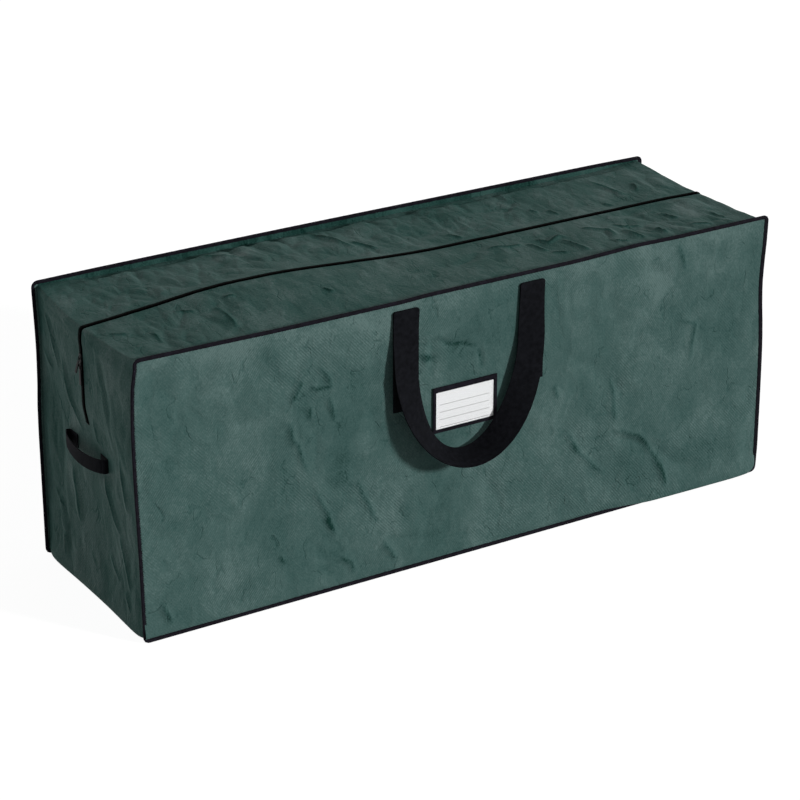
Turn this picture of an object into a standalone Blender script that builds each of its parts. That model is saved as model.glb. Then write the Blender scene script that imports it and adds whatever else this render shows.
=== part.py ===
"""Storage bag for an artificial tree: a long zipped box of laminated woven sheet with taped edges.

Units are metres and +Z is up. +X runs along the bag, the front panel faces -Y, and the origin
is under the middle of the bag, on the surface that it stands on.
"""
import math

import bmesh
import bpy
from mathutils import Matrix, Vector

# The bag over its taped edges; the depth is between the front and back panels
LENGTH = 1.270
DEPTH = 0.384
HEIGHT = 0.508

# Sheet, tape and clearances
FABRIC = 0.0012
GAP = 0.0003
CUT_OVERRUN = 0.002
WELD = 0.00001

# Taped edge: it stands out past the corners of the bag, in the plane of each panel
FIN = 0.0095
EDGE_TAPE = 0.0006
EDGE_TAPE_FOLD = 0.0009
FIN_RADIUS = 0.012
FIN_INNER_RADIUS = 0.0006
CORNER_STEPS = 6

# Top of the bag: how high the zip line stands over the side seams, along the length
CROWN = 0.018
CROWN_SHARES = [
    (0.0, -0.17), (0.10, 0.65), (0.19, 1.0), (0.32, 0.94), (0.40, 0.56), (0.50, 0.11),
    (0.56, 0.13), (0.65, 0.47), (0.73, 0.30), (0.825, -0.05), (1.0, -0.24),
]
CROWN_POWER = 1.5
TOP_COLUMNS = 32
TOP_ROWS = 6
FLAP_HINGE_INSET = 0.0024

# Ends of the bag: how far the sheet swells outwards, up the middle of the end. Each point's place
# is its depth under the top of the bag, over the depth of the zip's foot
END_SWELL = 0.011
SWELL_SHARES = [(1.89, 0.03), (1.37, 0.10), (1.18, 0.13), (1.0, 0.45)]
END_COLUMNS = 6
END_LOW_ROWS = 6

# Bottom of the bag: it hangs down to the ground between the taped edges
BOTTOM_EASE = 0.070
BOTTOM_COLUMNS = 28
BOTTOM_ROWS = 10

# Zip: one slot over the top and down the middle of both ends, set out from the top of the bag
ZIP_SLOT = 0.0055
ZIP_DOWN = 0.186
ZIP_STRAIGHT_STARTS_DOWN = 0.041
ZIP_STRAIGHT_ENDS_DOWN = 0.143
ZIP_TAPE = 0.0006
ZIP_TAPE_WIDTH = 0.0112
ZIP_TAPE_TAIL = 0.010
TEETH_HEIGHT = 0.0020
TEETH_PROUD = 0.0008
TEETH_APART = 0.0016
STOP_WIDTH = 0.0048
STOP_HEIGHT = 0.0030
STOP_THICKNESS = 0.0018

# Sliders and pulls, both parked on the left end
SLIDER_LENGTH = 0.0136
SLIDER_WIDTH = 0.0095
SLIDER_NOSE_WIDTH = 0.0074
SLIDER_PLATE = 0.0016
SLIDER_FLANGE = 0.0007
SLIDER_POST_LENGTH = 0.0040
SLIDER_POST_WIDTH = 0.0010
SLIDER_RADIUS = 0.0012
SLIDERS_APART = 0.0004
SLIDERS_MEET_DOWN = 0.071
BAIL_LENGTH = 0.0064
BAIL_HEIGHT = 0.0032
BAIL_RADIUS = 0.0006
BAIL_STEPS = 12
BAIL_SIDE_STEPS = 3
PULL_THICKNESS = 0.0012
PULL_HEAD_WIDTH = 0.0056
PULL_TIP_WIDTH = 0.0070
PULL_EYE_WIDTH = 0.0030
PULL_EYE_LENGTH = 0.0050
PULL_EYE_RADIUS = 0.0004
PULL_CORNER = 0.0006
PULL_BAR = 0.0012
PULL_STANDS = 0.0013
UPPER_PULL_LENGTH = 0.026
LOWER_PULL_LENGTH = 0.035
UPPER_PULL_TILT = math.radians(17)

# Carry handles: one webbing loop on the front and one on the back
WEBBING = 0.0018
WEBBING_WIDTH = 0.050
HANDLE_SPREAD = 0.254
HANDLE_SHIFT = -0.005
HANDLE_FOLD_DOWN = 0.022
LEG_LENGTH = 0.182
LOOP_STRAIGHT = 0.086
LOOP_DROP = 0.188
LOOP_SWING_SHARE = -0.04
LOOP_SWING_POWER = 1.5
LOOP_TWIST = math.radians(62)
LOOP_LEG_TWIST = math.radians(9)
LOOP_STANDS_AT_BEND = 0.0086
LOOP_CLEARANCE = 0.006
LOOP_LEG_STEPS = 6
LOOP_BEND_STEPS = 28

# End handles: a short webbing strap that bows out from two sewn tabs on each end
END_WEBBING = 0.0018
END_WEBBING_WIDTH = 0.025
END_HANDLE_SPAN = 0.137
END_HANDLE_DOWN = 0.237
END_HANDLE_SHIFT = 0.006
END_HANDLE_STANDS = 0.012
END_HANDLE_BOW = 0.0215
END_TAB_LENGTH = 0.024
END_TAB_STEPS = 3
END_FOLD_STEPS = 6
END_BOW_STEPS = 16
END_STRAP_INSET = 0.0010
BOW_POWER = 0.6

# Label pocket on the front panel
LABEL_WIDTH = 0.130
LABEL_HEIGHT = 0.085
LABEL_SHIFT = -0.0135
LABEL_DOWN = 0.176
LABEL_EDGE = 0.006
LABEL_BOTTOM_EDGE = 0.006
LABEL_TOP_EDGE = 0.010
LABEL_RADIUS = 0.0015
LABEL_INNER_RADIUS = 0.0005
LABEL_BACKING = 0.0006
LABEL_CARD = 0.0004
LABEL_WINDOW = 0.0004
LABEL_FACE = 0.0010
LABEL_TUCK = 0.0015

# Finishes: colour, roughness, metallic
FABRIC_FINISH = ((0.056, 0.102, 0.095, 1.0), 0.55, 0.0)
TAPE_FINISH = ((0.011, 0.010, 0.013, 1.0), 0.75, 0.0)
WEBBING_FINISH = ((0.007, 0.008, 0.010, 1.0), 0.80, 0.0)
ZIP_FINISH = ((0.002, 0.002, 0.002, 1.0), 0.55, 0.0)
METAL_FINISH = ((0.010, 0.010, 0.011, 1.0), 0.38, 0.6)
CARD_FINISH = ((0.84, 0.85, 0.86, 1.0), 0.60, 0.0)
WINDOW_FINISH = ((0.90, 0.92, 0.92, 0.35), 0.15, 0.0)

PARTS = "tree_storage_bag"
CUTTERS = "cutters"

# Planes and levels that several pieces share
PANEL_Y = DEPTH / 2
PANEL_FACE = FABRIC / 2
END_X = LENGTH / 2 - FIN
TOP_Z = HEIGHT - FIN
BOTTOM_Z = FIN
SEAM_Y = PANEL_Y - PANEL_FACE - GAP
HINGE_Y = PANEL_Y - FLAP_HINGE_INSET
ZIP_BOTTOM = HEIGHT - ZIP_DOWN
ZIP_STRAIGHT_LOW = HEIGHT - ZIP_STRAIGHT_ENDS_DOWN
ZIP_STRAIGHT_HIGH = HEIGHT - ZIP_STRAIGHT_STARTS_DOWN
SLIDERS_MEET = HEIGHT - SLIDERS_MEET_DOWN
HANDLE_FOLD = HEIGHT - HANDLE_FOLD_DOWN
LEG_BOTTOM = HANDLE_FOLD - LEG_LENGTH
END_HANDLE_HEIGHT = HEIGHT - END_HANDLE_DOWN
LABEL_TOP = HEIGHT - LABEL_DOWN
LABEL_BOTTOM = LABEL_TOP - LABEL_HEIGHT
TOP_KNOTS = [END_X * (2 * i / TOP_COLUMNS - 1) for i in range(1, TOP_COLUMNS)]

# Turns a flat drawing to face left, with its y upwards
FACING_LEFT = Matrix(((0, 0, -1, 0), (-1, 0, 0, 0), (0, 1, 0, 0), (0, 0, 0, 1)))


def clear_scene():
    """Empty the file and make the two collections."""
    for item in list(bpy.data.objects):
        bpy.data.objects.remove(item, do_unlink=True)
    for name in (PARTS, CUTTERS):
        bpy.context.scene.collection.children.link(bpy.data.collections.new(name))


def finish(name, values):
    """Return a material with a colour, a roughness and a metallic value."""
    colour, roughness, metallic = values
    material = bpy.data.materials.new(name)
    material.use_nodes = True
    shader = material.node_tree.nodes["Principled BSDF"]
    shader.inputs["Base Color"].default_value = colour
    shader.inputs["Roughness"].default_value = roughness
    shader.inputs["Metallic"].default_value = metallic
    shader.inputs["Alpha"].default_value = colour[3]
    return material


def add_object(name, mesh, values):
    """Link a part's mesh under its name with a material of its own."""
    item = bpy.data.objects.new(name, mesh)
    mesh.materials.clear()
    mesh.materials.append(finish(name, values))
    bpy.data.collections[PARTS].objects.link(item)
    return item


def make_tool(item):
    """Move an object to the cutters and hide it from the model."""
    item.hide_render = True
    item.display_type = "WIRE"
    for collection in list(item.users_collection):
        collection.objects.unlink(item)
    bpy.data.collections[CUTTERS].objects.link(item)
    return item


def combine(item, tool, operation):
    """Cut or join an object with a tool by an exact Boolean."""
    make_tool(tool)
    modifier = item.modifiers.new(operation.lower() + "_" + tool.name, "BOOLEAN")
    modifier.operation = operation
    modifier.object = tool
    modifier.solver = "EXACT"


def hinge_empty(name, place, pieces):
    """Put an empty on a joint's axis and hang the moving pieces on it."""
    empty = bpy.data.objects.new(name, None)
    empty.location = place
    bpy.data.collections[PARTS].objects.link(empty)
    for piece in pieces:
        piece.parent = empty
        piece.matrix_parent_inverse = Matrix.Translation(-Vector(place))
    return empty


def ease_through(points, t):
    """Return the height at t of a smooth curve through points, flat wherever it turns."""
    slopes = [(b[1] - a[1]) / (b[0] - a[0]) for a, b in zip(points, points[1:])]
    tangents = [slopes[0]]
    for before, after in zip(slopes, slopes[1:]):
        same_way = before * after > 0
        tangents.append(2 * before * after / (before + after) if same_way else 0)
    tangents.append(slopes[-1])
    t = min(max(t, points[0][0]), points[-1][0])
    index = 0
    while index < len(slopes) - 1 and t > points[index + 1][0]:
        index += 1
    (t0, h0), (t1, h1) = points[index], points[index + 1]
    span = t1 - t0
    s = (t - t0) / span
    start = (1 + 2 * s) * (1 - s) ** 2 * h0 + s * (1 - s) ** 2 * span * tangents[index]
    end = s * s * (3 - 2 * s) * h1 + s * s * (s - 1) * span * tangents[index + 1]
    return start + end


def levels(low, high, knots):
    """Return low, the knots between, and high."""
    return [low] + [k for k in knots if low + GAP < k < high - GAP] + [high]


def spaced(low, high, steps):
    """Return steps + 1 even levels from low to high."""
    return [low + (high - low) * i / steps for i in range(steps + 1)]


def top_height(x, y):
    """Return the height of the bag's top surface."""
    crown = CROWN * ease_through(CROWN_SHARES, (x + END_X) / (2 * END_X))
    inwards = min(max((HINGE_Y - abs(y)) / HINGE_Y, 0), 1)
    return TOP_Z + crown * math.sin(math.pi / 2 * inwards) ** CROWN_POWER


def end_swell(y, z):
    """Return how far the end sheet stands outside its folds."""
    points = [(BOTTOM_Z, 0)] + [(HEIGHT - down * ZIP_DOWN, share) for down, share in SWELL_SHARES]
    points += [(ZIP_STRAIGHT_LOW, 1), (ZIP_STRAIGHT_HIGH, 1), (TOP_Z, 0)]
    return END_SWELL * ease_through(points, z) * math.cos(math.pi * y / (2 * PANEL_Y))


def end_surface(side, offset):
    """Return a placing function on an end: side is -1 on the left and 1 on the right."""
    def place(y, z):
        return Vector((side * (END_X + end_swell(y, z) + offset), y, z))
    return place


def sheet(name, place, us, vs, thickness, values, keep=None):
    """Lay a grid over the levels us and vs at place(u, v), and give it its thickness."""
    mesh = bpy.data.meshes.new(name)
    bm = bmesh.new()
    columns, rows = len(us) - 1, len(vs) - 1
    bmesh.ops.create_grid(bm, x_segments=columns, y_segments=rows, size=0.5)
    for vert in bm.verts:
        i = round((vert.co.x + 0.5) * columns)
        j = round((vert.co.y + 0.5) * rows)
        vert.co = (us[i], vs[j], 0)
    if keep:
        dropped = [f for f in bm.faces if not keep(f.calc_center_median())]
        bmesh.ops.delete(bm, geom=dropped, context="FACES")
    for vert in bm.verts:
        vert.co = place(vert.co.x, vert.co.y)
    bm.to_mesh(mesh)
    bm.free()
    item = add_object(name, mesh, values)
    solid = item.modifiers.new("thickness", "SOLIDIFY")
    solid.thickness = thickness
    solid.offset = 0
    solid.use_even_offset = True
    return item


def box(name, low, high, values):
    """Return a box between two corners."""
    mesh = bpy.data.meshes.new(name)
    bm = bmesh.new()
    bmesh.ops.create_cube(bm, size=1)
    size = Vector(high) - Vector(low)
    centre = (Vector(high) + Vector(low)) / 2
    bm.transform(Matrix.Translation(centre) @ Matrix.Diagonal((*size, 1)))
    bm.to_mesh(mesh)
    bm.free()
    return add_object(name, mesh, values)


def rounded_outline(corners, radius):
    """Return the points of a convex outline, listed anticlockwise, with rounded corners."""
    points = []
    count = len(corners)
    for i, corner in enumerate(corners):
        here = Vector(corner)
        before = (Vector(corners[i - 1]) - here).normalized()
        after = (Vector(corners[(i + 1) % count]) - here).normalized()
        half = before.angle(after) / 2
        centre = here + (before + after).normalized() * radius / math.sin(half)
        start = here + before * radius / math.tan(half) - centre
        sweep = math.pi - 2 * half
        for step in range(CORNER_STEPS + 1):
            turn = Matrix.Rotation(sweep * step / CORNER_STEPS, 2)
            points.append(centre + turn @ start)
    return points


def rectangle(low, high):
    """Return the corners of a rectangle, anticlockwise."""
    return [(low[0], low[1]), (high[0], low[1]), (high[0], high[1]), (low[0], high[1])]


def slab(name, outlines, thickness, matrix, values):
    """Return a flat outline with holes as a closed slab, with its outline in matrix's XY plane."""
    curve = bpy.data.curves.new(name, "CURVE")
    curve.dimensions = "2D"
    curve.fill_mode = "BOTH"
    curve.extrude = thickness / 2
    for points in outlines:
        spline = curve.splines.new("POLY")
        spline.points.add(len(points) - 1)
        for point, place in zip(spline.points, points):
            point.co = (place[0], place[1], 0, 1)
        spline.use_cyclic_u = True
    drawn = bpy.data.objects.new(name, curve)
    bpy.data.collections[PARTS].objects.link(drawn)
    return curve_to_part(drawn, name, values, matrix)


def curve_to_part(drawn, name, values, matrix):
    """Turn a curve object into a welded mesh part, placed by matrix."""
    bpy.context.view_layer.update()
    evaluated = drawn.evaluated_get(bpy.context.evaluated_depsgraph_get())
    mesh = bpy.data.meshes.new_from_object(evaluated)
    bpy.data.objects.remove(drawn, do_unlink=True)
    bm = bmesh.new()
    bm.from_mesh(mesh)
    bmesh.ops.remove_doubles(bm, verts=bm.verts, dist=WELD)
    bm.transform(matrix)
    bm.to_mesh(mesh)
    bm.free()
    mesh.name = name
    return add_object(name, mesh, values)


def upright(y):
    """Return the placing of an outline drawn in x and z, centred on the plane at y."""
    return Matrix.Translation((0, y, 0)) @ Matrix.Rotation(math.pi / 2, 4, "X")


def make_panel(name, side):
    """The flat front or back sheet, cut to sit inside its edge tape."""
    inset = EDGE_TAPE_FOLD + GAP
    low = (-LENGTH / 2 + inset, inset)
    high = (LENGTH / 2 - inset, HEIGHT - inset)
    outline = rounded_outline(rectangle(low, high), FIN_RADIUS - inset)
    return slab(name, [outline], FABRIC, upright(side * PANEL_Y), FABRIC_FINISH)


def make_edge_tape(name, side):
    """The tape folded over the joined edges of a panel and the sides: a ring with a groove."""
    outer = rounded_outline(rectangle((-LENGTH / 2, 0), (LENGTH / 2, HEIGHT)), FIN_RADIUS)
    inset = FIN - GAP
    low = (-LENGTH / 2 + inset, inset)
    high = (LENGTH / 2 - inset, HEIGHT - inset)
    inner = rounded_outline(rectangle(low, high), FIN_INNER_RADIUS)
    thickness = FABRIC + 2 * GAP + 2 * EDGE_TAPE
    place = upright(side * PANEL_Y)
    tape = slab(name, [outer, inner], thickness, place, TAPE_FINISH)
    low = (-LENGTH / 2 + EDGE_TAPE_FOLD, EDGE_TAPE_FOLD)
    high = (LENGTH / 2 - EDGE_TAPE_FOLD, HEIGHT - EDGE_TAPE_FOLD)
    outline = rounded_outline(rectangle(low, high), FIN_RADIUS - EDGE_TAPE_FOLD)
    groove = slab(name + "_groove", [outline], FABRIC + 2 * GAP, place, TAPE_FINISH)
    combine(tape, groove, "DIFFERENCE")
    return tape


def make_bottom():
    """The sheet under the bag: it leaves the seams and lies flat on the ground between them."""
    def place(x, y):
        from_edge = min(END_X - abs(x), SEAM_Y - abs(y))
        s = min(from_edge / BOTTOM_EASE, 1)
        fall = s * s * (3 - 2 * s)
        return Vector((x, y, BOTTOM_Z * (1 - fall) + FABRIC / 2))
    flat_x, flat_y = END_X - BOTTOM_EASE, SEAM_Y - BOTTOM_EASE
    xs = levels(-END_X, END_X, sorted(spaced(-END_X, END_X, BOTTOM_COLUMNS) + [-flat_x, flat_x]))
    ys = levels(-SEAM_Y, SEAM_Y, sorted(spaced(-SEAM_Y, SEAM_Y, BOTTOM_ROWS) + [-flat_y, flat_y]))
    return sheet("bottom_panel", place, xs, ys, FABRIC, FABRIC_FINISH)


def end_levels(low, high):
    """Return the heights at which pieces on an end share their rows."""
    half = END_WEBBING_WIDTH / 2
    knots = spaced(BOTTOM_Z, END_HANDLE_HEIGHT - half, END_LOW_ROWS)
    marks = [END_HANDLE_HEIGHT + half, ZIP_BOTTOM, ZIP_STRAIGHT_LOW, ZIP_STRAIGHT_HIGH, TOP_Z]
    knots += [END_HANDLE_HEIGHT, END_HANDLE_HEIGHT + half]
    for below, above in zip(marks, marks[1:]):
        knots += [(below + above) / 2, above]
    return levels(low, high, knots)


def make_end_panel(name, side):
    """An end sheet, swollen outwards, with the slot for the zip down from its top edge."""
    slot = ZIP_SLOT / 2
    half = spaced(slot, SEAM_Y, END_COLUMNS)
    ys = [-y for y in reversed(half)] + half
    low = BOTTOM_Z + FABRIC + GAP
    under_top = TOP_Z - FABRIC - GAP
    zs = end_levels(low, under_top)
    surface = end_surface(side, -FABRIC / 2)

    def place(y, z):
        if z > under_top - GAP:
            z = top_height(side * END_X, y) - FABRIC - GAP
        return surface(y, z)

    def keep(centre):
        return abs(centre.x) > slot or centre.y < ZIP_BOTTOM

    return sheet(name, place, ys, zs, FABRIC, FABRIC_FINISH, keep)


def make_top_flap(name, side):
    """One half of the top, from its seam to its side of the zip slot."""
    ys = spaced(ZIP_SLOT / 2, HINGE_Y, TOP_ROWS)

    def place(x, y):
        return Vector((x, side * y, top_height(x, y) - FABRIC / 2))

    return sheet(name, place, levels(-END_X, END_X, TOP_KNOTS), ys, FABRIC, FABRIC_FINISH)


def make_top_zip(prefix, side):
    """The tape and the row of teeth along one side of the top slot."""
    reach = END_X - FABRIC - GAP
    xs = levels(-reach, reach, TOP_KNOTS)
    tape_sinks = FABRIC + GAP + ZIP_TAPE / 2
    teeth_sink = TEETH_HEIGHT / 2 - TEETH_PROUD

    def tape_place(x, y):
        return Vector((x, side * y, top_height(x, y) - tape_sinks))

    def teeth_place(x, y):
        return Vector((x, side * y, top_height(x, y) - teeth_sink))

    inner = TEETH_APART / 2
    tape = sheet(prefix + "_zip_tape", tape_place, xs, [inner, inner + ZIP_TAPE_WIDTH],
                 ZIP_TAPE, ZIP_FINISH)
    teeth = sheet(prefix + "_zip_teeth", teeth_place, xs, [inner, ZIP_SLOT / 2 - GAP],
                  TEETH_HEIGHT, ZIP_FINISH)
    return [tape, teeth]


def make_end_zip(prefix, end, side):
    """The tape and the row of teeth along one side of the slot in an end."""
    top = top_height(end * END_X, 0) - FABRIC - ZIP_TAPE - 2 * GAP
    inner = TEETH_APART / 2
    tape_surface = end_surface(end, -FABRIC - GAP - ZIP_TAPE / 2)
    teeth_surface = end_surface(end, TEETH_PROUD - TEETH_HEIGHT / 2)
    sheet(prefix + "_zip_tape", lambda y, z: tape_surface(side * y, z),
          [inner, inner + ZIP_TAPE_WIDTH], end_levels(ZIP_BOTTOM - ZIP_TAPE_TAIL, top),
          ZIP_TAPE, ZIP_FINISH)
    sheet(prefix + "_zip_teeth", lambda y, z: teeth_surface(side * y, z),
          [inner, ZIP_SLOT / 2 - GAP], end_levels(ZIP_BOTTOM + STOP_HEIGHT + 2 * GAP, top),
          TEETH_HEIGHT, ZIP_FINISH)


def make_zip_stop(name, end):
    """The stop clamped over both rows of teeth at the foot of the slot."""
    swell = end_swell(0, ZIP_BOTTOM + STOP_HEIGHT)
    outer = END_X + swell + TEETH_PROUD
    xs = sorted([end * outer, end * (outer - STOP_THICKNESS)])
    low = (xs[0], -STOP_WIDTH / 2, ZIP_BOTTOM + GAP)
    high = (xs[1], STOP_WIDTH / 2, ZIP_BOTTOM + GAP + STOP_HEIGHT)
    return box(name, low, high, METAL_FINISH)


def on_left_end(z, out):
    """Return the placing of a shape drawn flat: its y is up, its z outwards, at a height."""
    return Matrix.Translation((-(END_X + END_SWELL + out), 0, z)) @ FACING_LEFT


def make_slider(name, z, nose):
    """A slider: two plates joined by a post between the teeth, with flanges and a bail."""
    half = SLIDER_LENGTH / 2
    wide, narrow = SLIDER_WIDTH / 2, SLIDER_NOSE_WIDTH / 2
    top_width, bottom_width = (narrow, wide) if nose > 0 else (wide, narrow)
    corners = [(-bottom_width, -half), (bottom_width, -half), (top_width, half), (-top_width, half)]
    outline = rounded_outline(corners, SLIDER_RADIUS)
    under = TEETH_PROUD + GAP
    place = on_left_end(z, under + SLIDER_PLATE / 2)
    slider = slab(name, [outline], SLIDER_PLATE, place, METAL_FINISH)
    inside = FABRIC + GAP + ZIP_TAPE + GAP
    back = slab(name + "_back_plate", [outline], SLIDER_PLATE,
                on_left_end(z, -inside - SLIDER_PLATE / 2), METAL_FINISH)
    combine(slider, back, "UNION")
    outer = -(END_X + END_SWELL)
    post = box(name + "_post",
               (outer - under - SLIDER_PLATE / 2, -SLIDER_POST_WIDTH / 2, z - SLIDER_POST_LENGTH / 2),
               (outer + inside + SLIDER_PLATE / 2, SLIDER_POST_WIDTH / 2, z + SLIDER_POST_LENGTH / 2),
               METAL_FINISH)
    combine(slider, post, "UNION")
    for hand in (-1, 1):
        ys = sorted([hand * ZIP_SLOT / 2, hand * (ZIP_SLOT / 2 + SLIDER_FLANGE)])
        flange = box(name + ("_right_flange" if hand > 0 else "_left_flange"),
                     (outer - under - SLIDER_PLATE / 2, ys[0], z - half + SLIDER_RADIUS),
                     (outer - GAP, ys[1], z + half - SLIDER_RADIUS), METAL_FINISH)
        combine(slider, flange, "UNION")
    bail = make_bail(name + "_bail", z, under + SLIDER_PLATE)
    combine(slider, bail, "UNION")
    return slider


def make_bail(name, z, foot):
    """The arch on a slider that the pull hangs from."""
    curve = bpy.data.curves.new(name, "CURVE")
    curve.dimensions = "3D"
    curve.bevel_depth = BAIL_RADIUS
    curve.bevel_resolution = BAIL_SIDE_STEPS
    curve.use_fill_caps = True
    spline = curve.splines.new("POLY")
    spline.points.add(BAIL_STEPS + 2)
    places = [(0, BAIL_LENGTH / 2, -SLIDER_PLATE / 2)]
    for i in range(BAIL_STEPS + 1):
        turn = math.pi * i / BAIL_STEPS
        places.append((0, BAIL_LENGTH / 2 * math.cos(turn), BAIL_HEIGHT * math.sin(turn)))
    places.append((0, -BAIL_LENGTH / 2, -SLIDER_PLATE / 2))
    for point, place in zip(spline.points, places):
        point.co = (*place, 1)
    drawn = bpy.data.objects.new(name, curve)
    bpy.data.collections[PARTS].objects.link(drawn)
    return curve_to_part(drawn, name, METAL_FINISH, on_left_end(z, foot))


def make_pull(name, length, tilt, axis):
    """A flat pull tab with an eye for the bail, hanging from its bar at the axis."""
    top = PULL_BAR / 2
    head, tip = PULL_HEAD_WIDTH / 2, PULL_TIP_WIDTH / 2
    corners = [(-tip, -length), (tip, -length), (head, top), (-head, top)]
    eye_top = -PULL_BAR / 2
    eye = rectangle((-PULL_EYE_WIDTH / 2, eye_top - PULL_EYE_LENGTH), (PULL_EYE_WIDTH / 2, eye_top))
    outlines = [rounded_outline(corners, PULL_CORNER), rounded_outline(eye, PULL_EYE_RADIUS)]
    place = Matrix.Translation(axis) @ Matrix.Rotation(tilt, 4, "Y") @ FACING_LEFT
    return slab(name, outlines, PULL_THICKNESS, place, METAL_FINISH)


def make_sliders():
    """Both sliders, meeting nose to nose on the left end, each with its pull."""
    apart = (SLIDER_LENGTH + SLIDERS_APART) / 2
    stands = TEETH_PROUD + GAP + SLIDER_PLATE + PULL_STANDS
    for name, way, length, tilt in (("upper", 1, UPPER_PULL_LENGTH, UPPER_PULL_TILT),
                                    ("lower", -1, LOWER_PULL_LENGTH, 0)):
        z = SLIDERS_MEET + way * apart
        slider = make_slider(name + "_slider", z, -way)
        axis = (-(END_X + END_SWELL + stands), 0, z)
        hinge_empty(name + "_slider_track", (-END_X - END_SWELL, 0, z), [slider])
        pull = make_pull(name + "_pull", length, tilt, axis)
        hinge_empty(name + "_pull_axis", axis, [pull])


def loop_point(share, across):
    """Return a point of a hanging loop: share runs leg to leg, across from inner to outer edge."""
    half = HANDLE_SPREAD / 2
    leg_steps, bend_steps = LOOP_LEG_STEPS, LOOP_BEND_STEPS
    step = share * (2 * leg_steps + bend_steps)
    leg_y = PANEL_FACE + GAP + WEBBING / 2
    hang_y = leg_y + WEBBING + GAP
    bottom_y = LOOP_CLEARANCE + WEBBING_WIDTH / 2 * math.sin(LOOP_TWIST)
    if leg_steps <= step <= leg_steps + bend_steps:
        turn = math.pi * (step - leg_steps) / bend_steps
        x, z = -half * math.cos(turn), -LOOP_STRAIGHT - LOOP_DROP * math.sin(turn)
        outwards = Vector((-math.cos(turn) / half, 0, -math.sin(turn) / LOOP_DROP)).normalized()
        y = LOOP_STANDS_AT_BEND + (bottom_y - LOOP_STANDS_AT_BEND) * math.sin(turn)
        twist = LOOP_LEG_TWIST + (LOOP_TWIST - LOOP_LEG_TWIST) * math.sin(turn) ** 2
    else:
        side = -1 if step < leg_steps else 1
        down = (step if side < 0 else 2 * leg_steps + bend_steps - step) / leg_steps
        x, z = side * half, -LOOP_STRAIGHT * down
        outwards = Vector((side, 0, 0))
        y = hang_y + (LOOP_STANDS_AT_BEND - hang_y) * down * down
        twist = LOOP_LEG_TWIST * down * down
    fallen = -z / (LOOP_STRAIGHT + LOOP_DROP)
    x += LOOP_SWING_SHARE * HANDLE_SPREAD * fallen ** LOOP_SWING_POWER
    edge = outwards * math.cos(twist) + Vector((0, -1, 0)) * math.sin(twist)
    return Vector((x, -y, z)) + edge * across


def make_carry_handle(prefix, side):
    """Two sewn legs and the loop that folds forward over their tops and hangs down."""
    turn = Matrix.Rotation(0 if side < 0 else math.pi, 4, "Z")
    leg_inner = PANEL_Y + PANEL_FACE + GAP
    for name, hand in (("_left_leg", -1), ("_right_leg", 1)):
        x = side * -1 * HANDLE_SHIFT + hand * HANDLE_SPREAD / 2
        ys = sorted([side * leg_inner, side * (leg_inner + WEBBING)])
        box(prefix + name, (x - WEBBING_WIDTH / 2, ys[0], LEG_BOTTOM),
            (x + WEBBING_WIDTH / 2, ys[1], HANDLE_FOLD), WEBBING_FINISH)
    shift = Vector((HANDLE_SHIFT, -PANEL_Y, HANDLE_FOLD))

    def place(share, across):
        return turn @ (loop_point(share, across) + shift)

    steps = 2 * LOOP_LEG_STEPS + LOOP_BEND_STEPS
    half = WEBBING_WIDTH / 2
    loop = sheet(prefix + "_loop", place, spaced(0, 1, steps), [-half, 0, half],
                 WEBBING, WEBBING_FINISH)
    axis_y = PANEL_Y + PANEL_FACE + GAP + WEBBING + GAP / 2
    hinge_empty(prefix + "_axis", (0, side * axis_y, HANDLE_FOLD), [loop])
    return loop


def make_end_handle(prefix, end):
    """Two tabs sewn flat and folded back outwards, and the strap that bows out between them."""
    half = END_HANDLE_SPAN / 2
    middle = END_HANDLE_SHIFT
    low = END_HANDLE_HEIGHT - END_WEBBING_WIDTH / 2
    zs = [low, END_HANDLE_HEIGHT, low + END_WEBBING_WIDTH]
    lies = GAP + END_WEBBING / 2

    for name, hand in (("_front_tab", -1), ("_back_tab", 1)):
        fold_y = middle + hand * half

        def place(share, z, hand=hand, fold_y=fold_y):
            root = end_swell(fold_y, z) + lies
            radius = (END_HANDLE_STANDS - root) / 2
            if share <= 0:
                y = fold_y + hand * share * END_TAB_LENGTH
                out = end_swell(y, z) + lies
            else:
                turn = math.pi * share
                y = fold_y + hand * radius * math.sin(turn)
                out = root + radius * (1 - math.cos(turn))
            return Vector((end * (END_X + out), y, z))

        shares = spaced(-1, 0, END_TAB_STEPS)[:-1] + spaced(0, 1, END_FOLD_STEPS)
        sheet(prefix + name, place, shares, zs, END_WEBBING, WEBBING_FINISH)

    reach = half - END_STRAP_INSET

    def bow(y, z):
        along = (y - middle + reach) / (2 * reach)
        rise = math.sin(math.pi * along) ** BOW_POWER if 0 < along < 1 else 0
        out = END_HANDLE_STANDS + (END_HANDLE_BOW - END_HANDLE_STANDS) * rise
        return Vector((end * (END_X + out), y, z))

    shares = [math.sin(math.pi / 2 * t) for t in spaced(-1, 1, END_BOW_STEPS)]
    strap = sheet(prefix + "_strap", bow, [middle + reach * s for s in shares], zs,
                  END_WEBBING, WEBBING_FINISH)
    hinge_empty(prefix + "_axis", (end * (END_X + END_HANDLE_STANDS), middle, END_HANDLE_HEIGHT),
                [strap])


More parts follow.
